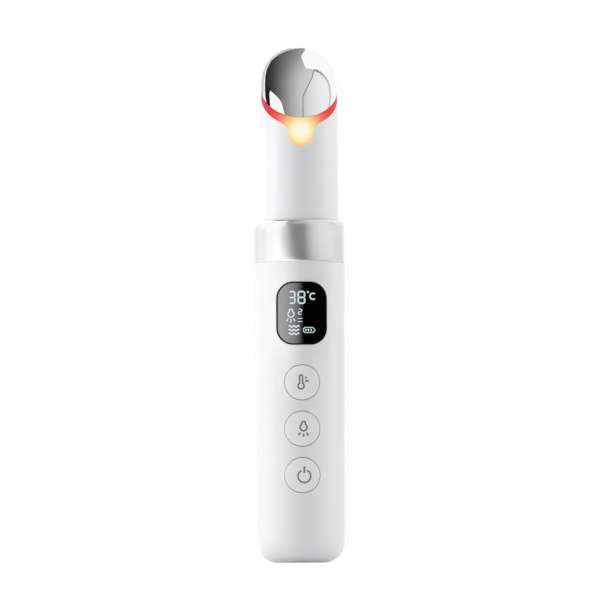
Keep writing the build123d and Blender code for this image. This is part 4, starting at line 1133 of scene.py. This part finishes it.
BALL = 1500.0
from_head(
    "dark_board", DARK_LEFT, DARK_RIGHT, BALL,
    (
        (0.03, 0.13), (0.07, 0.17), (0.15, 0.255), (0.19, 0.33), (0.267, 0.46), (0.346, 0.59),
        (0.425, 0.695), (0.504, 0.775), (0.583, 0.81), (0.66, 0.855),
    ),
    crowding=0.05,
)
from_head("dark_strip", STRIP_LEFT, STRIP_RIGHT, BALL - 10, ((0.0, 0.12), (1.0, 0.13)))
from_head(
    "pale_board", PALE_LEFT, PALE_RIGHT, BALL,
    ((0.583, 0.81), (0.63, 0.87), (0.70, 0.90), (0.79, 0.94), (0.88, 0.945)),
)
from_head("dark_seam", SEAM_LEFT, SEAM_RIGHT, BALL - 20, ((0.0, 0.45), (1.0, 0.45)))
from_head(
    "grey_rim", RIM_LEFT, RIM_RIGHT, BALL - 20,
    ((0.70, 0.50), (0.80, 0.66), (0.88, 0.76), (0.93, 0.82)),
)

EDGE_GAP = 0.04
EDGE_LEAST = 0.15
rows = np.linspace(EDGE_INSIDE[-1][1], EDGE_INSIDE[0][1], 40)
edge = silhouette(rows, -1.0) + EDGE_GAP
inside = np.maximum(across_at(rows, EDGE_INSIDE), edge + EDGE_LEAST)
from_head(
    "left_rim", np.stack([edge, rows], axis=-1), np.stack([inside, rows], axis=-1), BALL,
    ((0.0, 0.83), (0.25, 0.83), (0.5, 0.74)),
)

# %% [markdown]
# Upright boards curve round the wand. A dark front board draws the grey band down the collar, and
# pale ones at the sides keep the rest of it light. A small board beside the collar hides the dark board
# overhead from the collar's rounded edge. A black flag and a glowing board share the window. Tones are
# greys from 0 to 1 at azimuths in degrees, counted from the front to the right.

# %% The boards that the collar and the window see
def tall_board(name, heights, distance, tones, power=1.0):
    """An upright curved board at a distance from the axis; tones are (azimuth, grey) from left to
    right, and a grey's place is its share of the way between the ends."""
    first, last = tones[0][0], tones[-1][0]
    angle = np.radians(np.linspace(first, last, 40))
    x, z = np.meshgrid(distance * np.sin(angle), np.linspace(*heights, 3))
    y = np.broadcast_to(-distance * np.cos(angle), x.shape)
    tone = np.broadcast_to(np.linspace(0.0, 1.0, 40), x.shape)
    stops = [((azimuth - first) / (last - first), grey) for azimuth, grey in tones]
    hang(name, np.stack([x, y, z], axis=-1), tone, stops, power)


tall_board(
    "front_board", (-700.0, 760.0), 1620.0,
    (
        (-51.0, 1.0), (-39.0, 0.86), (-29.0, 0.60), (-18.0, 0.18), (-9.0, 0.04), (-3.0, 0.12),
        (3.0, 0.28), (13.0, 0.47), (23.4, 0.74), (34.0, 0.85), (48.0, 0.91),
    ),
)
tall_board(
    "side_board", (-700.0, 190.0), 1620.0,
    ((48.0, 0.91), (81.0, 0.93), (96.0, 0.87), (113.0, 0.82), (138.0, 0.76)),
)
tall_board(
    "bright_board", (-700.0, 190.0), 1620.0,
    ((-150.0, 0.80), (-135.0, 0.93), (-120.0, 1.0), (-55.0, 1.0)), 1.3,
)
tall_board("collar_guard", (97.7, 127.0), 23.0, ((-150.0, 1.0), (-28.0, 1.0)), 1.15)
tall_board("window_flag", (61.5, 85.5), 60.0, ((6.6, 0.0), (80.0, 0.0)))
tall_board(
    "window_glow", (61.5, 85.5), 60.0,
    (
        (-64.0, 0.90), (-50.0, 1.0), (-40.4, 0.97), (-26.8, 0.895), (-18.0, 0.80), (-9.2, 0.69),
        (-2.7, 0.485), (3.0, 0.20), (6.6, 0.0),
    ),
    4.5,
)
